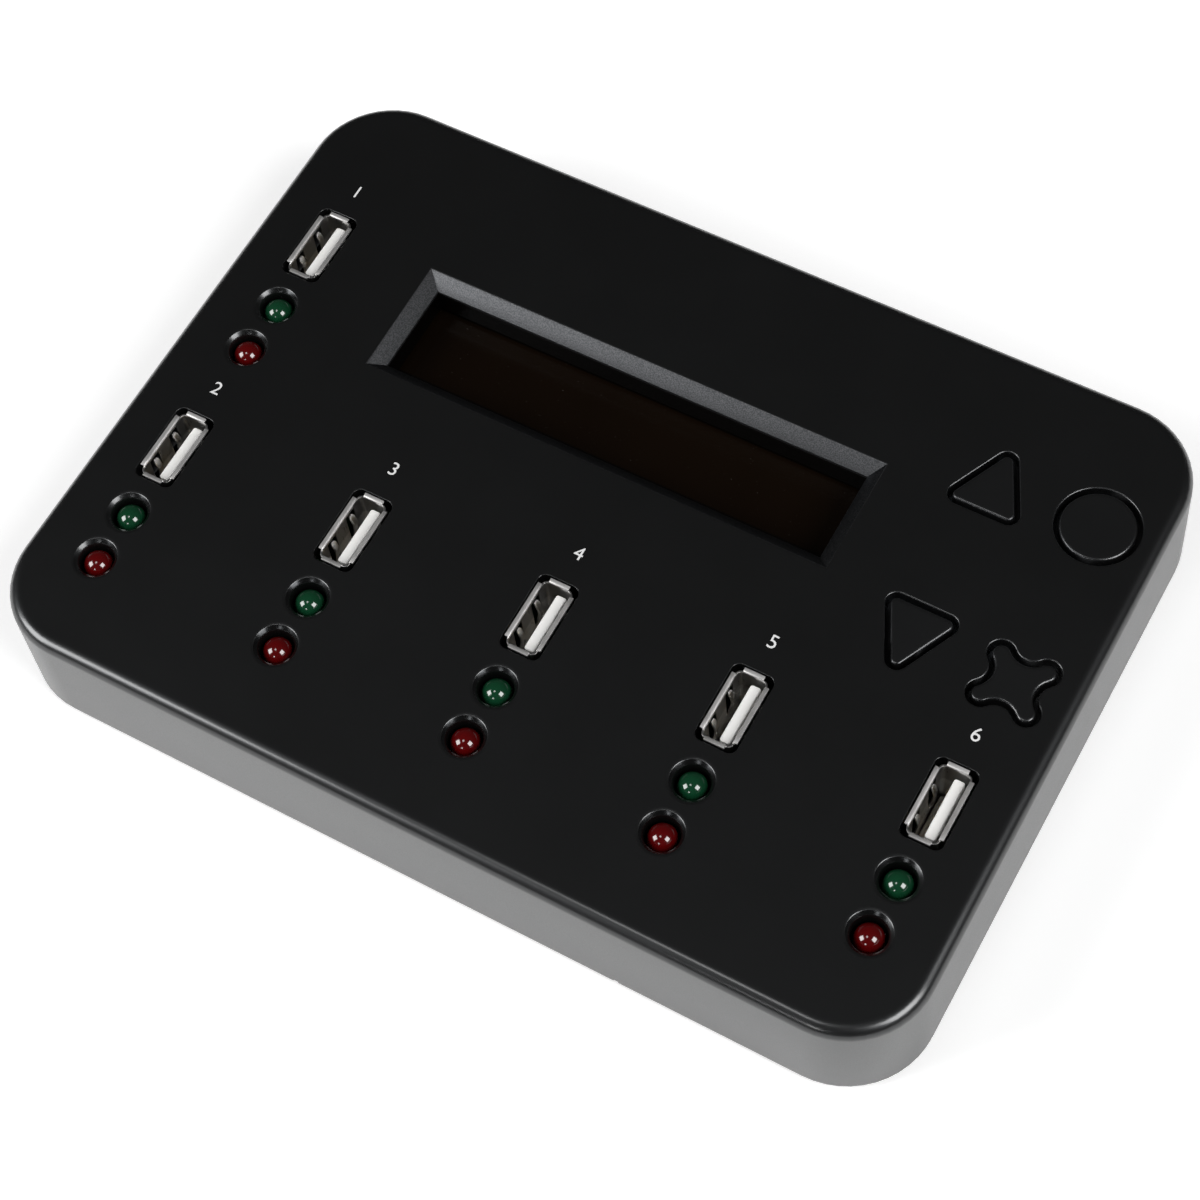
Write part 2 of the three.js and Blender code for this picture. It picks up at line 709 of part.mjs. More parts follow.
addPiece('top_cover', topCover(), 'blackPlastic');
addPiece('bottom_plate', bottomPlate(), 'blackPlastic');
addPiece('main_board', mainBoard(), 'circuitBoard');

const shellHeight = topZ + lipProud - seatZ;
const lampBaseZ = topZ - lampDepth - lampHeight;
const lampKinds = [['green_lamp', greenLampStep, 'greenLens'], ['red_lamp', redLampStep, 'redLens']];
socketPlaces.forEach(([x, y], index) => {
  const number = index + 1;
  addPiece(`usb_shell_${number}`, socketShell(shellHeight), 'nickel', [x, y, seatZ]);
  addPiece(`usb_insulator_${number}`, socketInsulator(shellHeight), 'whitePlastic', [x, y, seatZ]);
  for (const [name, step, finish] of lampKinds) {
    const place = [x, y - step, lampBaseZ];
    addPiece(`${name}_${number}`, lamp(lampBaseZ - seatZ), finish, place);
  }
});

const displayCentre = [windowCentreX, windowCentreY, 0];
const displayBoardShape = box(
  displayBoardWidth, displayBoardLength, displayBoardBottomZ, displayBoardTopZ);
const displayHeader = box(
  displayHeaderWidth, displayHeaderLength, seatZ, displayBoardBottomZ - fitGap, 0, displayHeaderY);
const glass = box(glassWidth, glassLength, glassTopZ - glassThickness, glassTopZ);
addPiece('display_board', displayBoardShape, 'circuitBoard', displayCentre);
addPiece('display_header', displayHeader, 'chipPlastic', displayCentre);
addPiece('display_frame', displayFrame().translate(...displayCentre), 'blackSteel');
addPiece('display_glass', glass, 'displayGlass', displayCentre);

const plunger = post(
  plungerRadius, switchHeight + plungerTopAboveSwitch - plungerHeight,
  switchHeight + plungerTopAboveSwitch, 0, 0, 16);
for (const { name, outline, x, y, turn } of buttons) {
  addPiece(`${name}_button`, buttonCap(outline), 'buttonPlastic', [x, y, topZ], turn);
  addPiece(`${name}_switch`, switchHousing(), 'chipPlastic', [x, y, seatZ]);
  addPiece(`${name}_plunger`, plunger, 'chipPlastic', [x, y, seatZ]);
}

const chip = box(chipWidth, chipWidth, 0, chipHeight);
const crystal = box(crystalLength, crystalWidth, 0, crystalHeight);
const capacitor = turned([
  [0, 0],
  [capacitorRadius, 0],
  [capacitorRadius, capacitorHeight - capacitorShoulder],
  [capacitorRadius - capacitorShoulder, capacitorHeight],
  [0, capacitorHeight],
], 16);
addPiece('controller_chip', chip, 'chipPlastic', [socketPitch / 2, boardPartsY, seatZ]);
addPiece('quartz_crystal', crystal, 'steel', [-socketPitch / 2, boardPartsY, seatZ]);
addPiece('capacitor', capacitor, 'capacitorSleeve', [1.5 * socketPitch, boardPartsY, seatZ]);

addPiece('power_inlet', powerInlet(), 'chipPlastic');
addPiece('inlet_pin', inletPin(), 'steel');
addPiece('rocker_housing', rockerHousing(), 'blackPlastic');
const rockerPivotY = rearFaceY + fitGap + rockerFlangeThickness - rockerPivotDepth;
addPiece('power_rocker', rocker(), 'blackPlastic', [rockerX, rockerPivotY, rearCentreZ], rockerTilt);

corners.forEach(([sideX, sideY], index) => {
  const number = index + 1;
  const screwZ = plateBottomZ + fitGap;
  addPiece(`case_screw_${number}`, caseScrew(), 'steel', [sideX * screwX, sideY * screwY, screwZ]);
  addPiece(`rubber_foot_${number}`, rubberFoot(), 'rubber', [sideX * footX, sideY * footY, 0]);
});

export default duplicator;
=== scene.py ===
"""Flash drive duplicator: the looks of its case, sockets, lamps, display and buttons.

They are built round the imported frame. Lengths are metres. +Z is up, +X runs to the buttons and +Y to the
rear wall, as in the frame.
"""

from math import atan2, cos, pi, radians, sin, sqrt, tan

import bmesh
import bpy
import numpy as np
from bpy.props import FloatProperty, FloatVectorProperty, PointerProperty
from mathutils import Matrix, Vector
from mathutils.geometry import tessellate_polygon


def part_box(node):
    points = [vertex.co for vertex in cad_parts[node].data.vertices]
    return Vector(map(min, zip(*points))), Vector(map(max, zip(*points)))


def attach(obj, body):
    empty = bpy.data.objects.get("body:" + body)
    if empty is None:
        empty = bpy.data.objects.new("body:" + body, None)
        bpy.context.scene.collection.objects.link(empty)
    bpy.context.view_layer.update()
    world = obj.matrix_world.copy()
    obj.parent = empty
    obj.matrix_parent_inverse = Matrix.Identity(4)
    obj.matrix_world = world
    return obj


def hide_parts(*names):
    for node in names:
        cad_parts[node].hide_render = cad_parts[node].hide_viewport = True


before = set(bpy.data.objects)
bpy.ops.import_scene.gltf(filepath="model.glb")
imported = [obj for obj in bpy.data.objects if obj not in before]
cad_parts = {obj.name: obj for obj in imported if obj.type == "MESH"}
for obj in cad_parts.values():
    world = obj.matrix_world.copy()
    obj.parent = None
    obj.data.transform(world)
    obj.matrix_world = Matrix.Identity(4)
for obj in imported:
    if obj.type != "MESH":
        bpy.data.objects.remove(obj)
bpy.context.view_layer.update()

bl_info = {
    "name": "Flash drive duplicator",
    "version": (1, 0, 0),
    "blender": (4, 5, 0),
    "location": "View3D > Sidebar > Duplicator",
    "description": "Builds the case, sockets, lamps, display and buttons of a flash drive duplicator",
    "category": "Object",
}

MM = 0.001
SOCKET_NUMBERS = range(1, 7)
CORNER_NUMBERS = range(1, 5)
FIT_GAP = 0.3 * MM


# Sizes and colours

def middle(node):
    """The middle of a node's box."""
    low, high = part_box(node)
    return (low + high) / 2


COVER_LOW, COVER_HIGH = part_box("top_cover")
TOP_Z = COVER_HIGH.z


def length(name, description, default):
    """A property that holds a length in metres."""
    return FloatProperty(name=name, description=description, default=default, unit="LENGTH", precision=5)


def colour(name, description, default):
    """A property that holds a colour."""
    return FloatVectorProperty(
        name=name, description=description, default=default, size=3, min=0, max=1, subtype="COLOR")


class CaseSizes(bpy.types.PropertyGroup):
    """Sizes of the plastic case."""

    width: length("Width", "Across the case at its shoulder", 164.5 * MM)
    depth: length("Depth", "Front to rear at the shoulder", 119.6 * MM)
    corner_radius: length("Corner radius", "Radius of the upright corners", 14.3 * MM)
    edge_radius: length("Edge radius", "Rounding between the top face and the walls", 2.05 * MM)
    draft: length("Draft", "How far a wall leans out from shoulder to lower edge", 0.54 * MM)
    wall: length("Wall", "Thickness of the walls", 2.2 * MM)
    top: length("Top", "Thickness of the top face", 2.4 * MM)
    rim_radius: length("Rim radius", "Rounding of the walls' lower edge", 0.3 * MM)
    hole_edge: length("Hole edge", "Rounding of the edge of a button's hole", 0.25 * MM)
    cutout_edge: length("Cutout edge", "Rounding of the edge of a socket's hole", 0.08 * MM)
    window_width: length("Window width", "Across the display window at the top face", 86.5 * MM)
    window_depth: length("Window depth", "Front to rear of the display window", 21.6 * MM)
    bevel_inset: length("Bevel inset", "How far the window's slopes run in", 2.4 * MM)
    bevel_depth: length("Bevel depth", "How far the window's slopes run down", 2.3 * MM)


class SocketSizes(bpy.types.PropertyGroup):
    """Sizes of one upright socket."""

    mouth_width: length("Mouth width", "Clear width of the mouth", 4.9 * MM)
    mouth_length: length("Mouth length", "Clear length of the mouth", 12.25 * MM)
    corner_radius: length("Corner radius", "Inside radius of the folded corners", 0.66 * MM)
    sheet: length("Sheet", "Thickness of the folded sheet", 0.3 * MM)
    lip_radius: length("Lip radius", "Radius that the lips bend through", 0.36 * MM)
    lip_angle: FloatProperty(
        name="Lip angle", description="How far the lips bend out", default=radians(82), subtype="ANGLE")
    lip_flat: length("Lip flat", "Width of the flat strip outside the bend", 0.495 * MM)
    lip_length: length("Lip length", "Length of a lip on a long side", 10.7 * MM)
    cutout_width: length("Cutout width", "Width of the hole in the top face", 7.3 * MM)
    cutout_length: length("Cutout length", "Length of the hole in the top face", 14.6 * MM)
    cutout_radius: length("Cutout radius", "Corner radius of the hole", 1.4 * MM)
    window_near: length("Window near edge", "From the middle of a long side to a spring window", 1.6 * MM)
    window_far: length("Window far edge", "From the middle of a long side to its other edge", 4.0 * MM)
    window_top: length("Window top", "Depth of a window's upper edge under the top face", 0.8 * MM)
    window_bottom: length("Window bottom", "Depth of its lower edge under the top face", 8.2 * MM)


class LampSizes(bpy.types.PropertyGroup):
    """Sizes of the indicator lamps and of their bowls in the top face."""

    radius: length("Radius", "Radius of a lamp's body", 2.5 * MM)
    bowl_radius: length("Bowl radius", "Radius of a bowl at the top face", 3.7 * MM)
    edge_radius: length("Edge radius", "Radius where a bowl's sloping dish meets its throat", 3.1 * MM)
    edge_depth: length("Edge depth", "Depth of that edge under the top face", 0.54 * MM)
    throat_radius: length("Throat radius", "Radius of the throat's narrow end", 2.85 * MM)
    throat_depth: length("Throat depth", "Depth of the throat's narrow end", 1.9 * MM)
    boss_radius: length("Boss radius", "Radius of the collar round the throat", 4.6 * MM)
    boss_depth: length("Boss depth", "How far the collar reaches under the top face", 4.6 * MM)


class ButtonSizes(bpy.types.PropertyGroup):
    """Sizes of the shaped push buttons."""

    gap: length("Gap", "Between a button and the edge of its hole", 0.85 * MM)
    edge: length("Edge", "Rounding of a button's upper edge", 0.45 * MM)
    triangle_radius: length("Triangle corner radius", "Corner radius of a triangle's hole", 1.9 * MM)
    triangle_half_width: length("Triangle half width", "Half the width of a triangle's hole", 6.2 * MM)
    triangle_half_height: length("Triangle half height", "Half its height", 6.3 * MM)
    round_radius: length("Round radius", "Radius of the round button's hole", 7.05 * MM)
    cross_reach: length("Cross reach", "From the middle of the cross to its sides", 6.2 * MM)
    cross_lobe: length("Cross lobe", "Radius of the cross's lobes", 2.35 * MM)
    cross_waist: length("Cross waist", "From the middle to the bottom of a hollow", 4.45 * MM)


class Colours(bpy.types.PropertyGroup):
    """Colours of the finishes, as linear red, green and blue."""

    case: colour("Case", "Black moulded plastic", (0.0042, 0.0042, 0.0042))
    buttons: colour("Buttons", "Black plastic of the button caps", (0.0047, 0.0047, 0.0048))
    display: colour("Display", "Dark display behind its glass", (0.0052, 0.0028, 0.0014))
    nickel: colour("Nickel", "Plated steel of the sockets", (0.71, 0.7, 0.69))
    insulator: colour("Insulator", "White plastic inside the sockets", (1.0, 1.0, 0.99))
    green_lens: colour("Green lens", "Unlit green lamp", (0.004, 0.04, 0.016))
    red_lens: colour("Red lens", "Unlit red lamp", (0.075, 0.001, 0.0014))
    print_white: colour("Print", "White print on the top face", (0.93, 0.93, 0.93))
    floor: colour("Floor", "Pale studio floor", (0.92, 0.92, 0.92))


class StageSettings(bpy.types.PropertyGroup):
    """Camera and lamps."""

    lens: FloatProperty(name="Lens", description="Focal length", default=81.738, unit="CAMERA")
    softbox_radiance: FloatProperty(
        name="Softbox radiance", description="How bright the faces of the softboxes are", default=7.6)
    softbox_spread: FloatProperty(
        name="Softbox spread", description="Angle that a softbox fills", default=radians(28),
        subtype="ANGLE")
    softbox_distance: length("Softbox distance", "From the object to each softbox", 1.3)


class DuplicatorSettings(bpy.types.PropertyGroup):
    """All the sizes and colours of the duplicator."""

    case: PointerProperty(type=CaseSizes)
    socket: PointerProperty(type=SocketSizes)
    lamp: PointerProperty(type=LampSizes)
    button: PointerProperty(type=ButtonSizes)
    colours: PointerProperty(type=Colours)
    stage: PointerProperty(type=StageSettings)


# Outlines and surfaces

CORNER_SIGNS = ((1, 1), (-1, 1), (-1, -1), (1, -1))


class Outline:
    """A closed line of arcs, counterclockwise, that can be offset evenly.

    A point of an arc is its centre plus (radius + side * offset) in the direction of its angle. A hollow
    arc has side -1, because the outside lies towards its centre. A square corner is one point of radius 0.
    """

    def __init__(self, *arcs):
        self.centre, self.radius, self.angle, self.side = (np.concatenate(part) for part in zip(*arcs))

    def at(self, offset=0.0):
        """The outline's points, moved outwards by offset."""
        reach = (self.radius + self.side * offset)[:, None]
        return self.centre + reach * np.stack([np.cos(self.angle), np.sin(self.angle)], axis=1)


def arc(x, y, radius, start, end, steps, side=1.0):
    """An arc's centres, radii, angles and sides, from the angle start to the angle end in equal steps."""
    count = steps + 1
    return (
        np.tile([x, y], (count, 1)).astype(float), np.full(count, radius), np.linspace(start, end, count),
        np.full(count, float(side)))


def corner_arcs(width, depth, radius, x, y, steps):
    """The four quarter circles of a rounded rectangle, from its +X +Y corner on."""
    far_x, far_y = width / 2 - radius, depth / 2 - radius
    return [
        arc(x + a * far_x, y + b * far_y, radius, quarter * pi / 2, (quarter + 1) * pi / 2, steps)
        for quarter, (a, b) in enumerate(CORNER_SIGNS)]


def rounded_rectangle(width, depth, radius, x=0.0, y=0.0, steps=6):
    """An outline of four quarter circles joined by straight sides."""
    return Outline(*corner_arcs(width, depth, radius, x, y, steps))


def square_rectangle(width, depth, x=0.0, y=0.0):
    """A rectangle with sharp corners, which stay sharp when it is offset."""
    return Outline(*[
        arc(x + a * width / 2, y + b * depth / 2, 0.0, atan2(b, a), atan2(b, a), 0, sqrt(2))
        for a, b in CORNER_SIGNS])


def circle(radius, x=0.0, y=0.0, steps=48):
    """A full circle, without a doubled last point."""
    return Outline(arc(x, y, radius, 0, 2 * pi * (1 - 1 / steps), steps - 1))


def moved(outline, x, y, turn=0.0):
    """A copy of an outline, turned about the origin and moved."""
    copy = Outline((outline.centre, outline.radius, outline.angle + turn, outline.side))
    rotation = np.array([[cos(turn), sin(turn)], [-sin(turn), cos(turn)]])
    copy.centre = outline.centre @ rotation + [x, y]
    return copy


def points_at(x, y, z):
    """Points from their x, y and z, each an array or one value for all."""
    return np.stack(np.broadcast_arrays(x, y, z), axis=-1)


def sweep(outline, profile):
    """A grid of points: row i is the outline offset by profile[i][0] at the height profile[i][1]."""
    return np.stack([points_at(*outline.at(offset).T, z) for offset, z in profile])


def bend(offset, z, radius, start, end, steps):
    """Profile points of an arc about (offset, z), at equal angles from start to end."""
    angles = np.linspace(start, end, steps + 1)
    return [(offset + radius * cos(a), z + radius * sin(a)) for a in angles]


def grid_faces(rows, columns, closed=True, keep=None):
    """The quads of a grid whose points are numbered row by row.

    A closed grid joins its last column to its first. keep says which quads stay.
    """
    row, column = np.mgrid[0 : rows - 1, 0 : columns if closed else columns - 1]
    beside = (column + 1) % columns
    quads = np.stack(
        [row * columns + column, row * columns + beside, (row + 1) * columns + beside,
         (row + 1) * columns + column], axis=-1)
    return quads.reshape(-1, 4) if keep is None else quads[keep]


class Skin:
    """Gathers patches of surface and joins them into one mesh."""

    sharp_angle = radians(35)
    merge_distance = 1e-6

    def __init__(self):
        self.points = []
        self.faces = []
        self.count = 0

    def add(self, points, faces):
        """Adds points, an array of any shape ending in 3, and faces that number them in order."""
        flat = np.reshape(points, (-1, 3))
        self.points.append(flat)
        self.faces += [[int(corner) + self.count for corner in face] for face in faces]
        self.count += len(flat)

    def band(self, rings, closed=True, keep=None):
        """Adds the faces between rings of as many points, and returns the rings."""
        self.add(rings, grid_faces(len(rings), len(rings[0]), closed, keep))
        return rings

    def sweep(self, outline, profile, keep=None):
        """Adds a profile carried round an outline."""
        return self.band(sweep(outline, profile), keep=keep)

    def sheet(self, *rings):
        """Adds a flat sheet inside the first ring, with the other rings as holes."""
        corners = tessellate_polygon([ring.tolist() for ring in rings])
        self.add(np.concatenate(rings), corners)

    def cap(self, points):
        """Adds one face over a ring of points."""
        self.add(points, [range(len(points))])

    def build(self, name, closed=True):
        """Makes the object: doubles are merged, and on a closed skin the faces are turned outwards."""
        mesh = bpy.data.meshes.new(name)
        mesh.from_pydata(np.concatenate(self.points), [], self.faces)
        work = bmesh.new()
        work.from_mesh(mesh)
        bmesh.ops.remove_doubles(work, verts=work.verts, dist=self.merge_distance)
        bmesh.ops.dissolve_degenerate(work, edges=work.edges, dist=self.merge_distance / 10)
        loose = [vertex for vertex in work.verts if not vertex.link_faces]
        bmesh.ops.delete(work, geom=loose, context="VERTS")
        if closed:
            torn = [edge for edge in work.edges if len(edge.link_faces) != 2]
            if torn:
                places = [tuple(round(1000 * c, 2) for c in edge.verts[0].co) for edge in torn[:6]]
                raise ValueError(f"{name} isn't closed: {len(torn)} edges, near {places}")
            bmesh.ops.recalc_face_normals(work, faces=work.faces)
        for face in work.faces:
            face.smooth = True
        for edge in work.edges:
            edge.smooth = len(edge.link_faces) != 2 or edge.calc_face_angle(0.0) < self.sharp_angle
        work.to_mesh(mesh)
        work.free()
        return place(bpy.data.objects.new(name, mesh))


def place(piece):
    """Puts an object into the scene."""
    bpy.context.scene.collection.objects.link(piece)
    return piece


def dress(piece, finish, body, replaces=()):
    """Gives a piece its finish, the body that it rides on and the nodes that it stands for."""
    piece.data.materials.clear()
    piece.data.materials.append(finish)
    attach(piece, body)
    if replaces:
        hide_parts(*replaces)
    return piece


def thicken(piece, thickness, bevel):
    """Gives an open sheet its thickness on its outer side, and rounds the edges of the cut sheet."""
    solid = piece.modifiers.new("Sheet", "SOLIDIFY")
    solid.thickness = thickness
    solid.offset = 1
    solid.use_even_offset = True
    edges = piece.modifiers.new("Cut edges", "BEVEL")
    edges.width = bevel
    edges.segments = 2
    edges.limit_method = "ANGLE"
    edges.angle_limit = radians(50)
    return piece


# Shader maths

class Wire:
    """A socket of a material's nodes. Arithmetic on it adds Math nodes."""

    def __init__(self, finish, socket):
        self.finish = finish
        self.socket = socket

    def maths(self, operation, *values):
        """The result of a Math node on these values."""
        numbered = dict(zip(("Value", "Value_001", "Value_002"), values))
        return self.finish.node("ShaderNodeMath", {"operation": operation}, numbered)

    def __add__(self, other):
        return self.maths("ADD", self, other)

    def __sub__(self, other):
        return self.maths("SUBTRACT", self, other)

    def __mul__(self, other):
        return self.maths("MULTIPLY", self, other)

    def __rsub__(self, other):
        return self.maths("SUBTRACT", other, self)

    def __abs__(self):
        return self.maths("ABSOLUTE", self)

    __radd__ = __add__
    __rmul__ = __mul__

    def larger(self, other):
        """The larger of two values."""
        return self.maths("MAXIMUM", self, other)

    def step(self, low, high):
        """0 below low, 1 above high, and a smooth rise between them."""
        settings = {"interpolation_type": "SMOOTHSTEP"}
        return self.finish.node(
            "ShaderNodeMapRange", settings, {"Value": self, "From Min": low, "From Max": high})

    def fall(self, low, high):
        """1 below low, 0 above high, and a smooth fall between them."""
        return 1.0 - self.step(low, high)


class Finish:
    """A material in the making, given its name, or the nodes of a world."""

    def __init__(self, owner):
        self.owner = bpy.data.materials.new(owner) if isinstance(owner, str) else owner
        self.owner.use_nodes = True
        self.tree = self.owner.node_tree
        self.tree.nodes.clear()

    def node(self, kind, settings=None, inputs=None, output=None):
        """Adds a node, sets its settings and then its sockets, and returns its output as a Wire.

        Sockets are named by identifier or by name.
        """
        made = self.tree.nodes.new(kind)
        for key, value in (settings or {}).items():
            setattr(made, key, value)
        for key, value in (inputs or {}).items():
            found = [s for s in made.inputs if s.identifier == key]
            found += [s for s in made.inputs if s.name == key]
            if isinstance(value, Wire):
                self.tree.links.new(value.socket, found[0])
            else:
                found[0].default_value = value
        shown = [s for s in made.outputs if s.enabled and (output is None or s.name == output)]
        return Wire(self, shown[0]) if shown else None

    def ray(self, kind):
        """1 for rays of one kind, Camera, Glossy or Transmission, and 0 for others."""
        return self.node("ShaderNodeLightPath", output=f"Is {kind} Ray")

    def place(self):
        """Object coordinates, in metres."""
        return self.node("ShaderNodeTexCoord", output="Object")

    def axis(self, name):
        """One object coordinate, X, Y or Z."""
        return self.node("ShaderNodeSeparateXYZ", inputs={"Vector": self.place()}, output=name)

    def depth(self):
        """How far a point lies under the top face."""
        return TOP_Z - self.axis("Z")

    def noise(self, scale, detail, vector=None):
        """Noise from 0 to 1. scale is the number of blotches in a metre."""
        inputs = {"Vector": vector or self.place(), "Scale": scale, "Detail": detail}
        return self.node("ShaderNodeTexNoise", inputs=inputs, output="Fac")

    def stretched(self, factors):
        """Object coordinates multiplied by three factors, for marks that run one way."""
        inputs = {"Vector": self.place(), "Vector_001": factors}
        return self.node("ShaderNodeVectorMath", {"operation": "MULTIPLY"}, inputs)

    def mix(self, factor, first, second):
        """A colour between two colours."""
        inputs = {
            "Factor_Float": factor,
            "A_Color": first if isinstance(first, Wire) else (*first, 1.0),
            "B_Color": second if isinstance(second, Wire) else (*second, 1.0),
        }
        return self.node("ShaderNodeMix", {"data_type": "RGBA"}, inputs, output="Result")

    def tints(self, factor, base, first, second):
        """A colour between two tints of one colour, each given by how much darker or lighter it is."""
        return self.mix(factor, tinted(base, first), tinted(base, second))

    def bump(self, height, reach):
        """A normal pushed in and out by height, over reach metres."""
        return self.node("ShaderNodeBump", inputs={"Height": height, "Distance": reach})

    def principled(self, base, roughness, **others):
        """Ends the material in a Principled shader. Words in the other sockets' names are joined by _."""
        inputs = {"Base Color": base if isinstance(base, Wire) else (*base, 1.0), "Roughness": roughness}
        for key, value in others.items():
            inputs[key.replace("_", " ")] = value
        surface = self.node("ShaderNodeBsdfPrincipled", inputs=inputs)
        self.node("ShaderNodeOutputMaterial", inputs={"Surface": surface})
        return self.owner


def tinted(base, factor):
    """A colour, lighter or darker by a factor."""
    return tuple(min(1.0, part * factor) for part in base)


# Finishes

def moulded_black(name, base, roughness=0.38):
    """Black moulded plastic: a fine spark-eroded grain, faint flow clouds and a dusting of lint.

    The window's slopes sparkle with flecks. The well below them is smoother, and darker with painted shade,
    as is everything that deep, except near the outside walls, where the finish runs on down. The lamps'
    bowls are smoother too, and they lie in front of the window and left of it.
    """
    finish = Finish(name)
    fine = finish.noise(5200, 3)
    clouds = finish.noise(60, 3)
    lint = finish.noise(1500, 0).step(0.78, 0.82)
    inside = abs(finish.axis("X")).fall(70 * MM, 74 * MM) * abs(finish.axis("Y")).fall(47 * MM, 51 * MM)
    # Painted shade: from 2.3 to 3 mm under the top face and deeper, inside the walls, the colour falls to
    # 0.15 of the base
    deep_painted_shade = finish.depth().step(2.3 * MM, 3.0 * MM) * inside
    sunk = finish.depth().step(0.04 * MM, 0.1 * MM) * inside
    beside_window = finish.axis("X").fall(-58 * MM, -56 * MM)
    before_window = finish.axis("Y").fall(2 * MM, 4 * MM)
    bowls = sunk * beside_window.larger(before_window)
    smooth = deep_painted_shade.larger(bowls)
    slopes = sunk - smooth
    outside = finish.tints(lint * 0.25 + clouds * 0.3, base, 0.85, 1.5)
    flecks = finish.mix(fine.step(0.4, 0.62), (0.058, 0.06, 0.063), (0.108, 0.11, 0.115))
    # The darker tint, base times 0.15, is painted shade deep under the top face
    shade = finish.mix(slopes, finish.mix(deep_painted_shade, outside, tinted(base, 0.15)), flecks)
    rough = roughness + (fine - 0.5) * 0.16 + (clouds - 0.5) * 0.06 - smooth * 0.16 + slopes * 0.02
    normal = finish.bump(fine * (1.0 - bowls * 0.8 + slopes * 2.0), 0.004 * MM)
    return finish.principled(
        shade, rough, Metallic=slopes, Normal=normal, IOR=1.5, Specular_Tint=(0.92, 0.96, 1.0, 1.0),
        Coat_Weight=1.0 - smooth - slopes, Coat_Roughness=0.22, Coat_IOR=1.6)


def plain_black(name, base=(0.012, 0.012, 0.013), roughness=0.5):
    """Black plastic or lacquer of a part inside the case, or on its rear wall."""
    finish = Finish(name)
    fine = finish.noise(4200, 2)
    clouds = finish.noise(110, 2)
    shade = finish.tints(clouds, base, 0.8, 1.35)
    return finish.principled(shade, roughness + (fine - 0.5) * 0.14, Normal=finish.bump(fine, 0.008 * MM))


def nickel_plate(name, base, shade_tint=1.0):
    """Nickel over pressed steel: satin from its drawing grain, under a bright skin, with duller patches.

    The lips' bend and what lies below it are smoother than their flat tops. The last argument is how much
    of the colour is left in the band under the lips; the darkening there is painted shade inside the mouth.
    """
    finish = Finish(name)
    drawn = finish.noise(900, 3, finish.stretched((6.0, 6.0, 0.6)))
    patches = finish.noise(420, 2)
    depth = finish.depth()
    # Painted shade: a band inside the mouth, from just under the lips to about 5 mm down, is darkened
    painted_shade_band = depth.step(0.2 * MM, 0.9 * MM) - depth.step(4.3 * MM, 5.1 * MM)
    pressed = depth.step(0.07 * MM, 0.13 * MM)
    plate = finish.tints(patches.step(0.35, 0.8), base, 1.05, 0.82)
    shade = finish.mix(painted_shade_band, plate, tinted(base, shade_tint))
    rough = 0.52 + drawn * 0.1 + patches * 0.05 - pressed * 0.3
    return finish.principled(
        shade, rough, Metallic=1.0, Normal=finish.bump(drawn, 0.004 * MM), Coat_Weight=0.8,
        Coat_Roughness=0.3, Coat_IOR=2.1)


def steel(name, base, roughness, grain=(1.0, 1.0, 1.0)):
    """Plated steel with a fine grain and cloudy roughness."""
    finish = Finish(name)
    brushed = finish.noise(1600, 3, finish.stretched(grain))
    clouds = finish.noise(260, 2)
    shade = finish.tints(clouds, base, 0.85, 1.1)
    rough = roughness + (brushed - 0.5) * 0.2 + (clouds - 0.5) * 0.1
    return finish.principled(shade, rough, Metallic=1.0, Normal=finish.bump(brushed, 0.006 * MM))


def white_plastic(name, base):
    """White socket plastic, a little warmer in patches."""
    finish = Finish(name)
    clouds = finish.noise(350, 2)
    fine = finish.noise(4000, 1)
    warm = (base[0], base[1] * 0.985, base[2] * 0.96)
    shade = finish.mix(clouds, base, warm)
    return finish.principled(shade, 0.42 + (fine - 0.5) * 0.1, Normal=finish.bump(fine, 0.004 * MM))


def lamp_lens(name, base):
    """Tinted lamp resin, polished on top. It is lighter high up, as painted light, and darker low down, as
    painted shade.
    """
    finish = Finish(name)
    # Painted light and shade: the colour is lighter towards the top of the lens and darker low down
    height = finish.depth().fall(0.3 * MM, 4.2 * MM)
    clouds = finish.noise(380, 1)
    shade = finish.tints(height * 0.75 + clouds * 0.25, base, 0.8, 1.35)
    return finish.principled(
        shade, 0.1 + clouds * 0.06, Normal=finish.bump(clouds, 0.004 * MM), IOR=1.55,
        Coat_Weight=1.0, Coat_Roughness=0.03)


def display_glass(name, base, centre):
    """A dark character display: a brown cell with a black border, under glass with faint dust.

    The cell stands nearer to the rear, so its border shows only along the front.
    """
    finish = Finish(name)
    half_width, half_depth, to_rear, blur = 41.2 * MM, 6.7 * MM, 1.7 * MM, 0.5 * MM
    across = abs(finish.axis("X") - centre.x).step(half_width, half_width + blur)
    along = abs(finish.axis("Y") - (centre.y + to_rear)).step(half_depth, half_depth + blur)
    dust = finish.noise(2600, 1).step(0.76, 0.84)
    haze = finish.noise(45, 2)
    cell = finish.tints(haze, base, 0.8, 1.3)
    framed = finish.mix(across.larger(along), cell, (0.0012, 0.0010, 0.0010))
    shade = finish.mix(dust * 0.2, framed, (0.12, 0.11, 0.1))
    return finish.principled(shade, 0.16 + dust * 0.4 + haze * 0.06, IOR=1.36)


def circuit_board(name):
    """Green solder mask over copper tracks, with a fine weave of the glass cloth under it."""
    finish = Finish(name)
    mask = (0.012, 0.05, 0.02)
    bands = finish.node(
        "ShaderNodeTexWave", {"wave_type": "BANDS", "bands_direction": "DIAGONAL"},
        {"Vector": finish.place(), "Scale": 180.0, "Distortion": 3.0, "Detail": 1.0}, output="Fac")
    tracks = bands.step(0.5, 0.6)
    weave = finish.noise(3000, 1)
    shade = finish.mix(tracks, mask, tinted(mask, 1.9))
    return finish.principled(
        shade, 0.34 + weave * 0.14, Normal=finish.bump(tracks, 0.03 * MM), Coat_Weight=0.3)


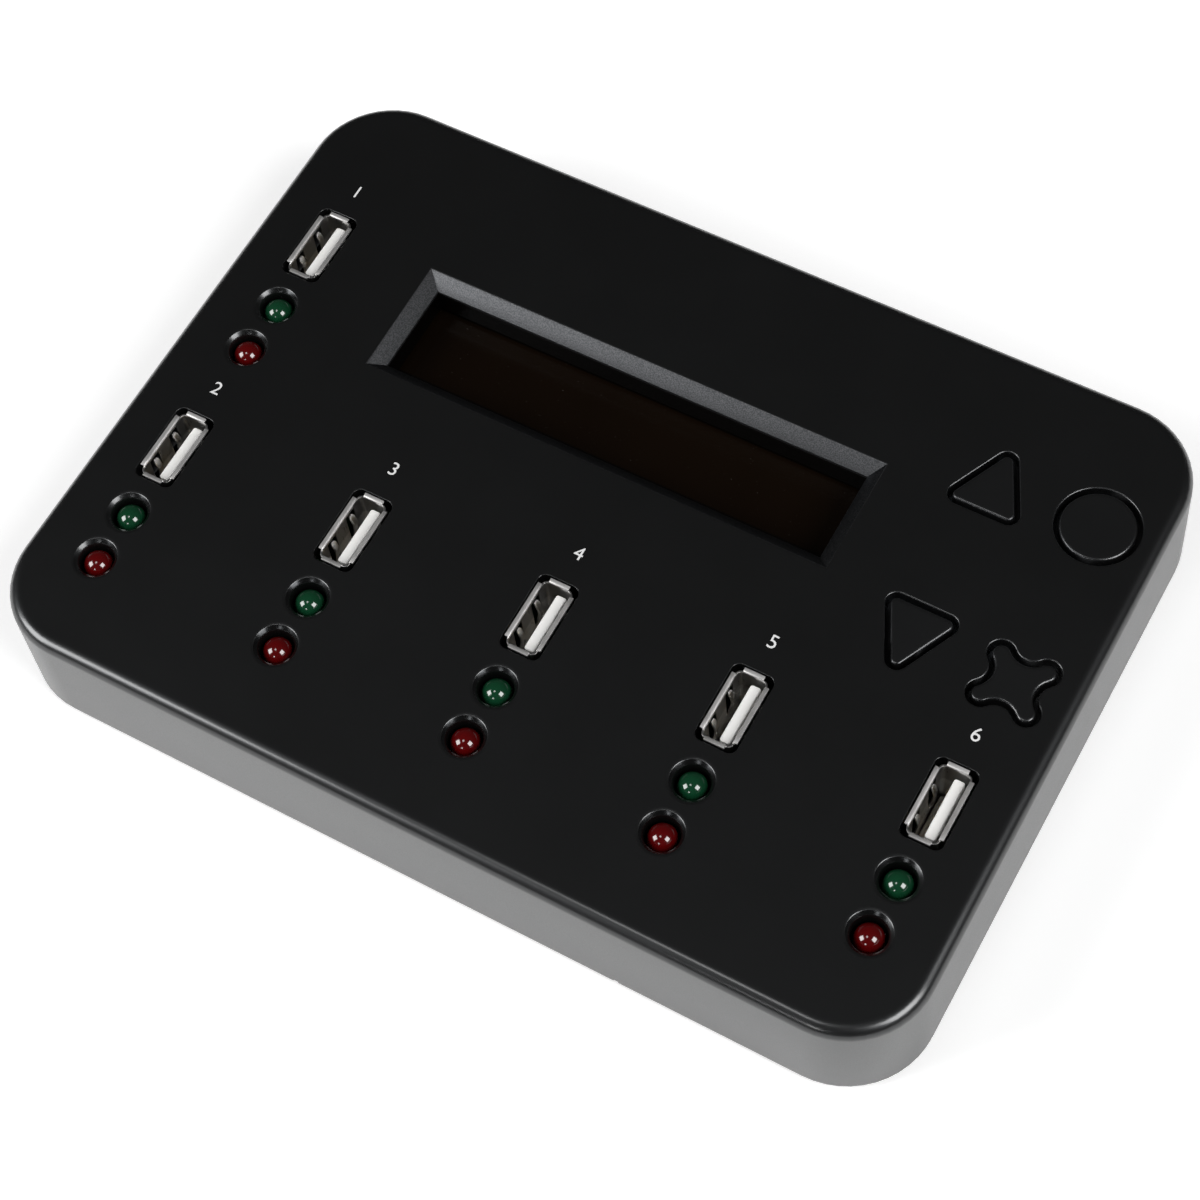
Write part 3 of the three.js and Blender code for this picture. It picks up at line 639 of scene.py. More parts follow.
def white_print(name, base):
    """Screen printed ink, thin in places."""
    finish = Finish(name)
    thin = finish.noise(2200, 2)
    shade = finish.mix(thin.step(0.55, 0.9) * 0.35, base, tinted(base, 0.55))
    return finish.principled(shade, 0.5 + thin * 0.1, Normal=finish.bump(thin, 0.004 * MM))


def rubber(name):
    """Matt black rubber with a dusty bloom."""
    finish = Finish(name)
    grain = finish.noise(3200, 3)
    bloom = finish.noise(240, 3)
    shade = finish.mix(bloom.step(0.4, 0.8), (0.011, 0.011, 0.011), (0.024, 0.024, 0.023))
    return finish.principled(shade, 0.78 + (grain - 0.5) * 0.2, Normal=finish.bump(grain, 0.02 * MM))


def finish_node(node, material):
    """Gives a node that keeps its own shape a finish."""
    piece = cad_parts[node]
    piece.data.materials.clear()
    piece.data.materials.append(material)


def shared(name, make, *values):
    """The finish of this name, made at its first use."""
    return bpy.data.materials.get(name) or make(name, *values)


# Button outlines

def triangle_outline(sizes):
    """Rounded triangle that points to +Y: three corner arcs, which end where the sides' outward directions
    meet them."""
    radius = sizes.triangle_radius
    x = sizes.triangle_half_width - radius
    y = sizes.triangle_half_height - radius
    side_turn = atan2(x, 2 * y)
    return Outline(
        arc(x, -y, radius, -pi / 2, side_turn, 12),
        arc(0, y, radius, side_turn, pi - side_turn, 12),
        arc(-x, -y, radius, pi - side_turn, 1.5 * pi, 12))


def round_outline(sizes):
    """A circle."""
    return circle(sizes.round_radius, steps=72)


def cross_outline(sizes):
    """Four lobes on the diagonals, joined by hollow arcs.

    A hollow ends just before the point where it would meet a lobe, so that no point is doubled.
    """
    lobe = sizes.cross_reach - sizes.cross_lobe
    spread = sizes.cross_waist - lobe
    hollow = (lobe**2 + spread**2 - sizes.cross_lobe**2) / (2 * (sizes.cross_lobe - spread))
    away = sizes.cross_waist + hollow
    meet = atan2(lobe, away - lobe)
    short = 0.98 * meet
    arcs = []
    for quarter in range(4):
        turn = quarter * pi / 2
        x, y = away * cos(turn), away * sin(turn)
        arcs.append(arc(x, y, hollow, turn + pi + short, turn + pi - short, 8, side=-1))
        diagonal = turn + pi / 4
        x, y = sqrt(2) * lobe * cos(diagonal), sqrt(2) * lobe * sin(diagonal)
        arcs.append(arc(x, y, sizes.cross_lobe, turn - meet, turn + pi / 2 + meet, 12))
    return Outline(*arcs)


BUTTONS = {
    "up": (triangle_outline, 0.0),
    "down": (triangle_outline, pi),
    "round": (round_outline, 0.0),
    "cross": (cross_outline, 0.0),
}


def button_holes(sizes):
    """The outline of each button's hole, in its place."""
    holes = {}
    for name, (outline, turn) in BUTTONS.items():
        centre = middle(f"{name}_plunger")
        holes[name] = moved(outline(sizes), centre.x, centre.y, turn)
    return holes


# Case

NOTCH_X = 35.5 * MM
NOTCH_WIDTH = 0.9 * MM
NOTCH_HEIGHT = 0.7 * MM
CORNER_STEPS = 12

# The order that takes the four points of a two by two grid round its edge
ROUND_GRID = [0, 1, 3, 2]


def lean(case, z):
    """How far a wall stands out of its place at the shoulder, at the height z."""
    wall_height = TOP_Z - COVER_LOW.z
    return case.draft * (TOP_Z - z) / wall_height


def case_outline(case):
    """The case's outline at the shoulder, with two more points on the front for the notch."""
    corners = corner_arcs(case.width, case.depth, case.corner_radius, 0.0, 0.0, CORNER_STEPS)
    notch = [
        arc(x, -case.depth / 2, 0.0, 1.5 * pi, 1.5 * pi, 0)
        for x in (NOTCH_X - NOTCH_WIDTH / 2, NOTCH_X + NOTCH_WIDTH / 2)]
    return Outline(*corners[:3], *notch, corners[3])


def edge_profile(radius, low_z, support):
    """A hole's edge in the top face: a narrow flat, a quarter round, and a straight side down to low_z."""
    flat = [(support, TOP_Z), (radius, TOP_Z)]
    rounding = bend(radius, TOP_Z - radius, radius, pi / 2, pi, 4)[1:]
    return flat + rounding + [(0.0, low_z)]


def make_case_top(case, socket, lamp, button):
    """The top cover: outer and inner skin, joined along the rim and through every hole."""
    skin = Skin()
    outline = case_outline(case)
    rear_column = CORNER_STEPS
    notch_column = 3 * (CORNER_STEPS + 1)
    rim = case.rim_radius
    low_z = COVER_LOW.z
    notch_z = low_z + NOTCH_HEIGHT
    ceiling_z = TOP_Z - case.top
    shoulder_z = TOP_Z - case.edge_radius
    inner_edge = 1.0 * MM
    support = 0.4 * MM
    cutout_support = 0.3 * MM

    def leaning(rows):
        return [(offset + lean(case, z), z) for offset, z in rows]

    shoulder = [(-case.edge_radius - support, TOP_Z)] + leaning(bend(
        -case.edge_radius, shoulder_z, case.edge_radius, pi / 2, 0, 10))
    outer = shoulder + leaning([(0.0, notch_z)])
    foot = bend(-rim + lean(case, low_z), low_z + rim, rim, 0, -pi / 2, 4)
    inner_wall = -case.wall
    heel = bend(inner_wall + rim + lean(case, low_z), low_z + rim, rim, -pi / 2, -pi, 4)
    inner = leaning([(inner_wall, notch_z), (inner_wall, ceiling_z - inner_edge)])
    vault_x = inner_wall - inner_edge + lean(case, ceiling_z)
    vault = bend(vault_x, ceiling_z - inner_edge, inner_edge, 0, pi / 2, 4)[1:]
    profile = outer + foot + heel + inner + vault
    keep = np.ones((len(profile) - 1, len(outline.angle)), bool)
    wall_row = len(shoulder) - 1
    inner_row = len(outer + foot + heel)
    keep[[wall_row, inner_row], rear_column] = False
    keep[wall_row + 1 : inner_row, notch_column] = False
    grid = skin.sweep(outline, profile, keep)

    # The notch: a cheek on each side and a lintel
    for column in (notch_column, notch_column + 1):
        skin.cap(grid[wall_row + 1 : inner_row + 1, column])
    lintel = grid[[wall_row + 1, inner_row], notch_column : notch_column + 2].reshape(4, 3)
    skin.cap(lintel[ROUND_GRID])

    # The top face and the ceiling, with the holes that go through both
    top_rings = [grid[0]]
    ceiling_rings = [grid[-1]]
    holes = []
    for number in SOCKET_NUMBERS:
        centre = middle(f"usb_shell_{number}")
        cutout = rounded_rectangle(
            socket.cutout_width, socket.cutout_length, socket.cutout_radius, centre.x, centre.y, 8)
        holes.append((cutout, edge_profile(case.cutout_edge, ceiling_z, cutout_support)))
    for outline in button_holes(button).values():
        holes.append((outline, edge_profile(case.hole_edge, ceiling_z, support)))
    for number in SOCKET_NUMBERS:
        for name in (f"green_lamp_{number}", f"red_lamp_{number}"):
            centre = middle(name)
            holes.append((circle(0.0, centre.x, centre.y, 64), bowl_profile(lamp, ceiling_z)))
    holes.append(window_hole(case, ceiling_z))
    for outline, rows in holes:
        ring = skin.sweep(outline, rows)
        top_rings.append(ring[0])
        ceiling_rings.append(ring[-1])
    skin.sheet(*top_rings)
    skin.sheet(*ceiling_rings)

    add_rear_wall(skin, case, grid[wall_row : wall_row + 2], grid[inner_row : inner_row + 2], rear_column)
    return skin.build("case_top")


def bowl_profile(lamp, ceiling_z):
    """A lamp's bowl: a dish that slopes more and more, a throat and a collar.

    The throat is a part of an ellipse that falls steeply. The rim is broken by a narrow slope.
    """
    support = 0.5 * MM
    rim = 0.04 * MM
    rim_share = 0.06
    bulge = 0.014 * MM
    start = radians(77)
    width = lamp.bowl_radius - lamp.edge_radius
    flat = [(lamp.bowl_radius + support, TOP_Z), (lamp.bowl_radius + rim, TOP_Z)]
    dish = [
        (lamp.bowl_radius - width * u, TOP_Z - lamp.edge_depth * u + 4 * bulge * u * (1 - u))
        for u in np.linspace(rim_share, 1, 8)]
    spread = (lamp.edge_radius - lamp.throat_radius) / (1 - cos(start))
    drop = (lamp.throat_depth - lamp.edge_depth) / sin(start)
    throat = [
        (lamp.throat_radius + spread * (1 - cos(a)), TOP_Z - lamp.throat_depth + drop * sin(a))
        for a in np.linspace(start, 0, 8)[1:]]
    collar = [
        (lamp.throat_radius, TOP_Z - lamp.boss_depth),
        (lamp.boss_radius, TOP_Z - lamp.boss_depth),
        (lamp.boss_radius, ceiling_z),
    ]
    return flat + dish + throat + collar


def window_hole(case, ceiling_z):
    """The display window: mitred slopes, then a straight well whose rim hangs over the display."""
    support = 0.4 * MM
    edge = 0.15 * MM
    chamfer = 0.3 * edge
    tunnel = 1.5 * MM
    inset = case.bevel_inset
    well_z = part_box("display_frame")[1].z + FIT_GAP
    centre = middle("display_glass")
    outline = square_rectangle(case.window_width, case.window_depth, centre.x, centre.y)
    profile = [
        (support, TOP_Z),
        (edge, TOP_Z),
        (chamfer, TOP_Z - chamfer),
        (-edge, TOP_Z - edge * case.bevel_depth / inset),
        (-inset, TOP_Z - case.bevel_depth),
        (-inset, well_z),
        (-inset + tunnel, well_z),
        (-inset + tunnel, ceiling_z),
    ]
    return outline, profile


def upright(points, y):
    """An outline's points, read as x and z, stood up at y, which is one value or one for each point."""
    return points_at(points[:, 0], y, points[:, 1])


def upright_sweep(skin, outline, profile):
    """Adds a profile of (offset, y) carried round an outline in x and z."""
    return skin.band([upright(outline.at(offset), y) for offset, y in profile])


def add_rear_wall(skin, case, outer_rows, inner_rows, column):
    """The straight part of the rear wall: a shallow pocket, and holes for the inlet and the rocker."""
    pocket_y = 59.5 * MM
    pocket_left, pocket_right = -44.5 * MM, -1.8 * MM
    pocket_height, pocket_radius = 12.0 * MM, 1.2 * MM
    inlet_radius = 4.4 * MM
    rocker_width, rocker_height, rocker_radius = 14.0 * MM, 9.6 * MM, 0.4 * MM
    inlet = middle("inlet_pin")
    rocker = middle("power_rocker")
    pocket = rounded_rectangle(
        pocket_right - pocket_left, pocket_height, pocket_radius, (pocket_left + pocket_right) / 2,
        rocker.z).at()
    holes = [
        circle(inlet_radius, inlet.x, inlet.z).at(),
        rounded_rectangle(rocker_width, rocker_height, rocker_radius, rocker.x, rocker.z, 3).at()]

    def outer_y(z):
        return case.depth / 2 + lean(case, z)

    rim = upright(pocket, outer_y(pocket[:, 1]))
    base = upright(pocket, pocket_y)
    outer_ring = outer_rows[:, column : column + 2].reshape(4, 3)[ROUND_GRID]
    inner_ring = inner_rows[:, column : column + 2].reshape(4, 3)[ROUND_GRID]
    skin.sheet(outer_ring, rim)
    skin.band([rim, base])
    fronts = [upright(hole, pocket_y) for hole in holes]
    backs = [upright(hole, outer_y(hole[:, 1]) - case.wall) for hole in holes]
    skin.sheet(base, *fronts)
    skin.sheet(inner_ring, *backs)
    for ends in zip(fronts, backs):
        skin.band(ends)


def make_bottom_plate(case):
    """The bottom plate: a rounded slab with seats for the feet, and a pad, well and post at each screw."""
    thickness, pad_height, edge = 2.0 * MM, 1.5 * MM, 0.3 * MM
    flat, support, cut = 0.4 * MM, 0.3 * MM, 0.1 * MM
    seat_radius, seat_depth = 5.3 * MM, 0.4 * MM
    well_radius, well_depth = 3.0 * MM, 2.2 * MM
    shank_radius, pad_radius, post_radius = 1.6 * MM, 4.5 * MM, 2.5 * MM
    post_share = 38 / 52
    low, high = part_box("bottom_plate")
    low_z = low.z
    plate_z = low_z + thickness
    pad_z = plate_z + pad_height
    inset = -case.wall - FIT_GAP + lean(case, plate_z)
    outline = rounded_rectangle(case.width, case.depth, case.corner_radius, steps=CORNER_STEPS)
    profile = (
        [(inset - edge - flat, low_z)]
        + bend(inset - edge, low_z + edge, edge, -pi / 2, 0, 3)
        + bend(inset - edge, plate_z - edge, edge, 0, pi / 2, 3)
        + [(inset - edge - flat, plate_z)])
    seat_profile = [(support, low_z), (cut, low_z), (0.0, low_z + cut), (0.0, low_z + seat_depth)]
    well_profile = [
        (well_radius + support, low_z), (well_radius + cut, low_z), (well_radius, low_z + cut),
        (well_radius, low_z + well_depth), (shank_radius, low_z + well_depth), (shank_radius, pad_z),
        (pad_radius, pad_z), (pad_radius, plate_z)]
    skin = Skin()
    grid = skin.sweep(outline, profile)
    under, over = [grid[0]], [grid[-1]]
    for number in CORNER_NUMBERS:
        foot = middle(f"rubber_foot_{number}")
        seat = skin.sweep(circle(seat_radius, foot.x, foot.y), seat_profile)
        skin.sheet(seat[-1])
        under.append(seat[0])
        screw = middle(f"case_screw_{number}")
        well = skin.sweep(circle(0.0, screw.x, screw.y, 40), well_profile)
        under.append(well[0])
        over.append(well[-1])
        post = skin.sweep(
            circle(post_radius, screw.x, screw.y * post_share, 24), [(0.0, plate_z), (0.0, high.z)])
        over.append(post[0])
        skin.cap(post[-1])
    skin.sheet(*under)
    skin.sheet(*over)
    return skin.build("bottom_plate_skin")


# Sockets

SHEET_EDGE = 0.05 * MM


def socket_outline(socket, centre):
    """The mouth's outline, with points on its long sides where the lips and the windows begin and end."""
    half = socket.mouth_width / 2
    stops = [socket.window_near, socket.window_far, socket.lip_length / 2]
    side = [-stop for stop in reversed(stops)] + [0.0] + stops

    def wall(x, direction, order):
        return [arc(centre.x + x, centre.y + y, 0.0, direction, direction, 0) for y in order]

    corners = corner_arcs(
        socket.mouth_width, socket.mouth_length, socket.corner_radius, centre.x, centre.y, 5)
    return Outline(*corners[:2], *wall(-half, pi, side[::-1]), *corners[2:], *wall(half, 0.0, side))


def make_socket_shell(socket, number):
    """A folded shell: a square tube, a lip turned out on each side, and two windows in each long wall.

    A lip stands on each straight stretch, but on a long side no farther out than the lip's length.
    """
    low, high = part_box(f"usb_shell_{number}")
    centre = (low + high) / 2
    lip = socket.lip_radius
    flat_x = socket.lip_flat * sin(socket.lip_angle)
    flat_z = socket.lip_flat * cos(socket.lip_angle)
    bend_z = high.z - lip * sin(socket.lip_angle) - flat_z
    walls = [
        (0.0, low.z), (0.0, TOP_Z - socket.window_bottom), (0.0, TOP_Z - socket.window_top), (0.0, bend_z)]
    lips = [
        (lip * (1 - cos(a)), bend_z + lip * sin(a)) for a in np.linspace(0, socket.lip_angle, 8)[1:]]
    lips.append((lips[-1][0] + flat_x, lips[-1][1] + flat_z))
    outline = socket_outline(socket, centre)
    points = outline.at()
    along = np.abs((points[:, 1] + np.roll(points[:, 1], -1)) / 2 - centre.y)
    straight = np.isclose(outline.angle, np.roll(outline.angle, -1))
    long_side = straight & np.isclose(np.sin(outline.angle), 0.0, atol=1e-6)
    keep = np.ones((len(walls + lips) - 1, len(outline.angle)), bool)
    window_row = 1
    lip_row = len(walls) - 1
    keep[window_row, long_side & (along > socket.window_near) & (along < socket.window_far)] = False
    keep[lip_row:, ~straight | long_side & (along > socket.lip_length / 2)] = False
    skin = Skin()
    skin.sweep(outline, walls + lips, keep)
    shell = skin.build(f"socket_shell_{number}", closed=False)
    return thicken(shell, socket.sheet, SHEET_EDGE)


def make_springs(socket, number):
    """The four sprung tabs of a socket, one in each window."""
    centre = middle(f"usb_shell_{number}")
    window_y = (socket.window_near + socket.window_far) / 2
    skin = Skin()
    for side in (-1, 1):
        for end in (-1, 1):
            add_spring(skin, socket, centre.x, centre.y + end * window_y, side)
    springs = skin.build(f"socket_springs_{number}", closed=False)
    return thicken(springs, socket.sheet, SHEET_EDGE)


def add_spring(skin, socket, centre_x, y, side):
    """A sprung tab: a strip that rises from a window's lower edge, bulges into the mouth and curls back.

    Its inward lean is the bulge times the sine of pi times its share of the height to the power 1.7, which
    falls to 0 at the tip. The tip narrows along a parabola.
    """
    foot_depth, height, half = 8.5 * MM, 7.1 * MM, 0.6 * MM
    bulge, proud = 0.68 * MM, 0.02 * MM
    tip_share, narrowing = 0.07, 0.45
    rise = np.linspace(0, 1, 15)
    lean_in = bulge * np.sin(pi * rise**1.7)
    tip = np.clip((rise - 1 + tip_share) / tip_share, 0, 1)
    reach = half * (1 - narrowing * tip**2)
    steps = np.linspace(-1, 1, 5) * side
    x = centre_x + side * (socket.mouth_width / 2 - proud - lean_in)
    z = TOP_Z - foot_depth + height * rise
    skin.band(points_at(x[:, None], y + reach[:, None] * steps, z[:, None]), closed=False)


def make_insulator(number):
    """The socket's white plastic: a base at the bottom of the mouth, and the tongue that stands on it."""
    base_width, base_length, base_radius, base_edge = 4.52 * MM, 11.9 * MM, 0.5 * MM, 0.2 * MM
    tongue_width, tongue_length, tongue_radius, edge = 1.84 * MM, 10.8 * MM, 0.4 * MM, 0.22 * MM
    flat = 0.15 * MM
    low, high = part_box(f"usb_insulator_{number}")
    centre = middle(f"usb_shell_{number}")
    floor_z = TOP_Z - 10.8 * MM
    tongue_x = centre.x + 0.98 * MM
    tip_z = high.z - 0.5 * MM
    base = rounded_rectangle(base_width, base_length, base_radius, centre.x, centre.y, 5)
    tongue = rounded_rectangle(tongue_width, tongue_length, tongue_radius, tongue_x, centre.y)
    skin = Skin()
    ground = skin.sweep(base, [(0.0, low.z), (0.0, floor_z - base_edge), (-base_edge, floor_z)])
    upper = skin.sweep(
        tongue,
        [(0.0, floor_z), (0.0, tip_z - edge)]
        + bend(-edge, tip_z - edge, edge, 0, pi / 2, 5)[1:] + [(-edge - flat, tip_z)])
    skin.sheet(ground[0])
    skin.sheet(ground[-1], upper[0])
    skin.sheet(upper[-1])
    return skin.build(f"socket_tongue_{number}")


def make_contacts(number):
    """Four sprung contact strips on the tongue's open side, each with a raised pad near its tip.

    The pad is a bell curve along the strip.
    """
    places = (-3.5 * MM, -1.0 * MM, 1.0 * MM, 3.5 * MM)
    foot_depth, height, half = 10.6 * MM, 8.4 * MM, 0.5 * MM
    sunk, flat_lift, pad_lift, pad_place, pad_width = 0.05 * MM, 0.12 * MM, 0.16 * MM, 0.82, 0.09
    centre = middle(f"usb_shell_{number}")
    face_x = centre.x - 0.1 * MM
    rise = np.linspace(0, 1, 12)
    lift = flat_lift + pad_lift * np.exp(-(((rise - pad_place) / pad_width) ** 2))
    raised = np.array([False, False, True, True])
    across = np.array([-half, half, half, -half])
    x = face_x + np.where(raised, -lift[:, None], sunk)
    z = TOP_Z - foot_depth + height * rise
    skin = Skin()
    for place_y in places:
        strip = skin.band(points_at(x, centre.y + place_y + across, z[:, None]))
        skin.cap(strip[0])
        skin.cap(strip[-1])
    return skin.build(f"socket_contacts_{number}")


# Lamps

def make_lamp(name, lamp):
    """A round lamp: flange, straight body, half-round dome, and two square leads down to the board."""
    height, flange_radius, flange_height, edge = 8.6 * MM, 2.9 * MM, 1.0 * MM, 0.15 * MM
    lead_x, lead_width = 1.27 * MM, 0.5 * MM
    low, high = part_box(name)
    centre = (low + high) / 2
    base_z = high.z - height
    flange_z = base_z + flange_height
    profile = [
        (0.0, base_z), (flange_radius - 0.2 * MM, base_z), (flange_radius, base_z + edge),
        (flange_radius, flange_z - edge), (flange_radius - edge, flange_z), (lamp.radius, flange_z),
    ] + bend(0.0, high.z - lamp.radius, lamp.radius, 0, pi / 2, 12)
    skin = Skin()
    skin.sweep(circle(0.0, centre.x, centre.y), profile)
    for side in (-1, 1):
        lead = square_rectangle(lead_width, lead_width, centre.x + side * lead_x, centre.y)
        ends = skin.sweep(lead, [(0.0, low.z), (0.0, base_z)])
        skin.cap(ends[0])
        skin.cap(ends[-1])
    return skin.build(name + "_lens")


# Buttons

def make_button(name, case, button, hole):
    """A push button: cap with a rounded edge, flange that catches under the top face, and a stem."""
    flange_reach, flange_thickness = 0.8 * MM, 1.2 * MM
    flange_cut, flange_edge = 0.3 * MM, 0.2 * MM
    flat, stem_radius = 0.3 * MM, 2.0 * MM
    low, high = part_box(f"{name}_button")
    centre = middle(f"{name}_plunger")
    top = high.z
    edge = button.edge
    flange_z = top - case.top - FIT_GAP
    flange_low = flange_z - flange_thickness
    profile = (
        [(flange_reach - flange_cut, flange_low), (flange_reach, flange_low + flange_edge)]
        + [(flange_reach, flange_z), (-button.gap, flange_z)]
        + bend(-button.gap - edge, top - edge, edge, 0, pi / 2, 5)
        + [(-button.gap - edge - flat, top)])
    skin = Skin()
    rings = skin.sweep(hole, profile)
    stem = skin.sweep(circle(stem_radius, centre.x, centre.y, 32), [(0.0, low.z), (0.0, flange_low)])
    skin.cap(stem[0])
    skin.sheet(rings[0], stem[-1])
    skin.sheet(rings[-1])
    return skin.build(f"{name}_cap")


# Rear wall

def turned_along_y(skin, centre, profile, steps=40):
    """Turns a profile of (radius, y) about a line along Y: every point runs round a circle."""
    angles = np.linspace(0, 2 * pi, steps, endpoint=False)
    radius, y = np.array(profile).T[..., None]
    return skin.band(points_at(
        centre.x + radius * np.cos(angles), y, centre.z + radius * np.sin(angles)))


def make_inlet():
    """The power inlet: a block behind the wall, a collar through it and a round bore with a lead-in."""
    body_y, back_edge, front_edge = 57.0 * MM, 0.3 * MM, 0.2 * MM
    collar_radius, bore_radius = 4.1 * MM, 3.1 * MM
    low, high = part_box("power_inlet")
    centre = (low + high) / 2
    pin = middle("inlet_pin")
    bore_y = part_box("inlet_pin")[0].y - FIT_GAP
    block = square_rectangle(high.x - low.x, high.z - low.z, pin.x, centre.z)
    skin = Skin()
    rings = upright_sweep(skin, block, [
        (-back_edge, low.y), (0.0, low.y + back_edge), (0.0, body_y - front_edge), (-front_edge, body_y)])
    skin.cap(rings[0])
    collar = turned_along_y(skin, pin, [
        (collar_radius, body_y), (collar_radius, high.y - 0.25 * MM),
        (collar_radius - 0.08 * MM, high.y - 0.08 * MM), (collar_radius - 0.25 * MM, high.y),
        (bore_radius + 0.4 * MM, high.y), (bore_radius + 0.05 * MM, high.y - 0.4 * MM),
        (bore_radius, high.y - 0.6 * MM), (bore_radius, bore_y)])
    skin.sheet(rings[-1], collar[0])
    skin.cap(collar[-1])
    return skin.build("inlet_body")


def make_pin():
    """The inlet's centre pin, with a rounded tip."""
    low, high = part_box("inlet_pin")
    centre = (low + high) / 2
    radius = 1.0 * MM
    skin = Skin()
    turned_along_y(skin, centre, [
        (0.0, low.y), (radius, low.y), (radius, high.y - 0.45 * MM), (0.93 * radius, high.y - 0.2 * MM),
        (0.7 * radius, high.y - 0.05 * MM), (0.4 * radius, high.y), (0.0, high.y)], 28)
    return skin.build("inlet_centre_pin")


def make_rocker_housing():
    """The rocker's housing: a flange with rounded edges outside the wall, and a body through it."""
    depth, flange, floor, edge, flat = 10.5 * MM, 0.9 * MM, 2.0 * MM, 0.35 * MM, 0.2 * MM
    low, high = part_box("rocker_housing")
    centre = (low + high) / 2
    flange_back = high.y - flange
    floor_y = high.y - depth + floor
    outside = rounded_rectangle(15.6 * MM, 11.2 * MM, 0.8 * MM, centre.x, centre.z, 5)
    body = rounded_rectangle(13.4 * MM, 9.0 * MM, 0.3 * MM, centre.x, centre.z, 3)
    well = rounded_rectangle(12.2 * MM, 7.6 * MM, 0.4 * MM, centre.x, centre.z, 4)
    skin = Skin()
    front = upright_sweep(skin, outside, [(0.0, flange_back), (0.0, high.y - edge)] + bend(
        -edge, high.y - edge, edge, 0, pi / 2, 4)[1:] + [(-edge - flat, high.y)])
    shaft = upright_sweep(skin, body, [(0.0, flange_back), (0.0, low.y)])
    room = upright_sweep(skin, well, [
        (0.35 * MM, high.y), (0.15 * MM, high.y), (0.0, high.y - 0.15 * MM), (0.0, floor_y)])
    skin.sheet(front[-1], room[0])
    skin.sheet(front[0], shaft[0])
    skin.sheet(shaft[-1])
    skin.sheet(room[-1])
    return skin.build("rocker_frame")


def make_rocker():
    """The rocker: its section, a shallow V to the rear with a round back, turned about its pivot.

    The section is carried up and down, with eased ends. Its back is a parabola, and the V is the square
    root of a square plus a small value, which rounds its bottom.
    """
    low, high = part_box("power_rocker")
    centre = (low + high) / 2
    pivot_x = -12.0 * MM
    pivot_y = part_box("rocker_housing")[1].y - 3.0 * MM
    tilt = radians(8)
    half = 5.7 * MM
    back_y, back_bulge = -1.0 * MM, 1.75 * MM
    valley_y, valley_fall, valley_bend = 2.9 * MM, 0.45 * MM, 0.004
    rim_y = 3.23 * MM
    back = np.linspace(-1, 1, 17)
    rear_side = np.column_stack([half * back, back_y - back_bulge * (1 - back**2)])
    front_x = np.linspace(half, -half, 25)
    fall = np.abs(front_x) / half
    front = np.column_stack([front_x, valley_y + valley_fall * np.sqrt(fall**2 + valley_bend)])
    front[[0, -1], 1] = rim_y
    section = np.concatenate([rear_side, front])
    section_middle = np.array([0.0, 0.5 * MM])

    # Each layer's size, and its height as a share of half the rocker's
    lower = [(0.95, -1.0), (0.985, -0.97), (1.0, -0.93)]
    layers = lower + [(scale, -share) for scale, share in reversed(lower)]
    turn = np.array([[cos(tilt), sin(tilt)], [-sin(tilt), cos(tilt)]])
    rings = []
    for scale, share in layers:
        turned = (section_middle + (section - section_middle) * scale) @ turn + [pivot_x, pivot_y]
        rings.append(points_at(*turned.T, centre.z + share * (high.z - low.z) / 2))
    skin = Skin()
    skin.band(rings)
    skin.sheet(rings[0])
    skin.sheet(rings[-1])
    return skin.build("rocker_paddle")


# Screws and feet

def make_screw(number):
    """A pan head screw under the case: rounded head with a cross recess, and a shank."""
    head_height, head_radius = 1.6 * MM, 2.7 * MM
    shank_radius, point_radius, point_height = 1.3 * MM, 0.9 * MM, 0.4 * MM
    arm, half, recess_depth, recess_taper = 1.45 * MM, 0.32 * MM, 0.8 * MM, 0.55
    low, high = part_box(f"case_screw_{number}")
    centre = (low + high) / 2
    head_z = low.z + head_height
    cross = np.array([
        (arm, -half), (arm, half), (half, half), (half, arm), (-half, arm), (-half, half),
        (-arm, half), (-arm, -half), (-half, -half), (-half, -arm), (half, -arm), (half, -half)])
    skin = Skin()
    head = skin.sweep(circle(0.0, centre.x, centre.y, 40), [
        (1.75 * MM, low.z), (1.9 * MM, low.z), (2.35 * MM, low.z + 0.18 * MM),
        (2.62 * MM, low.z + 0.5 * MM), (head_radius, low.z + 0.9 * MM), (head_radius, head_z),
        (shank_radius, head_z), (shank_radius, high.z - point_height), (point_radius, high.z)])
    mouth, floor = skin.band([
        points_at(*(cross * scale + [centre.x, centre.y]).T, low.z + depth)
        for scale, depth in ((1.0, 0.0), (recess_taper, recess_depth))])
    skin.sheet(head[0], mouth)
    skin.sheet(floor)
    skin.cap(head[-1])
    return skin.build(f"screw_{number}")


def make_foot(number):
    """A round rubber foot with a rounded tread."""
    radius, edge, flat = 5.0 * MM, 0.7 * MM, 0.4 * MM
    low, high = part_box(f"rubber_foot_{number}")
    centre = (low + high) / 2
    skin = Skin()
    rings = skin.sweep(
        circle(0.0, centre.x, centre.y),
        [(radius - edge - flat, low.z)]
        + bend(radius - edge, low.z + edge, edge, -pi / 2, 0, 5) + [(radius, high.z)])
    skin.sheet(rings[0])
    skin.cap(rings[-1])
    return skin.build(f"foot_{number}")


# Printed numbers

NUMERAL_SIZE = 3.5 * MM
NUMERAL_BEHIND = 12.8 * MM
FIRST_NUMERAL_BEHIND = 12.45 * MM


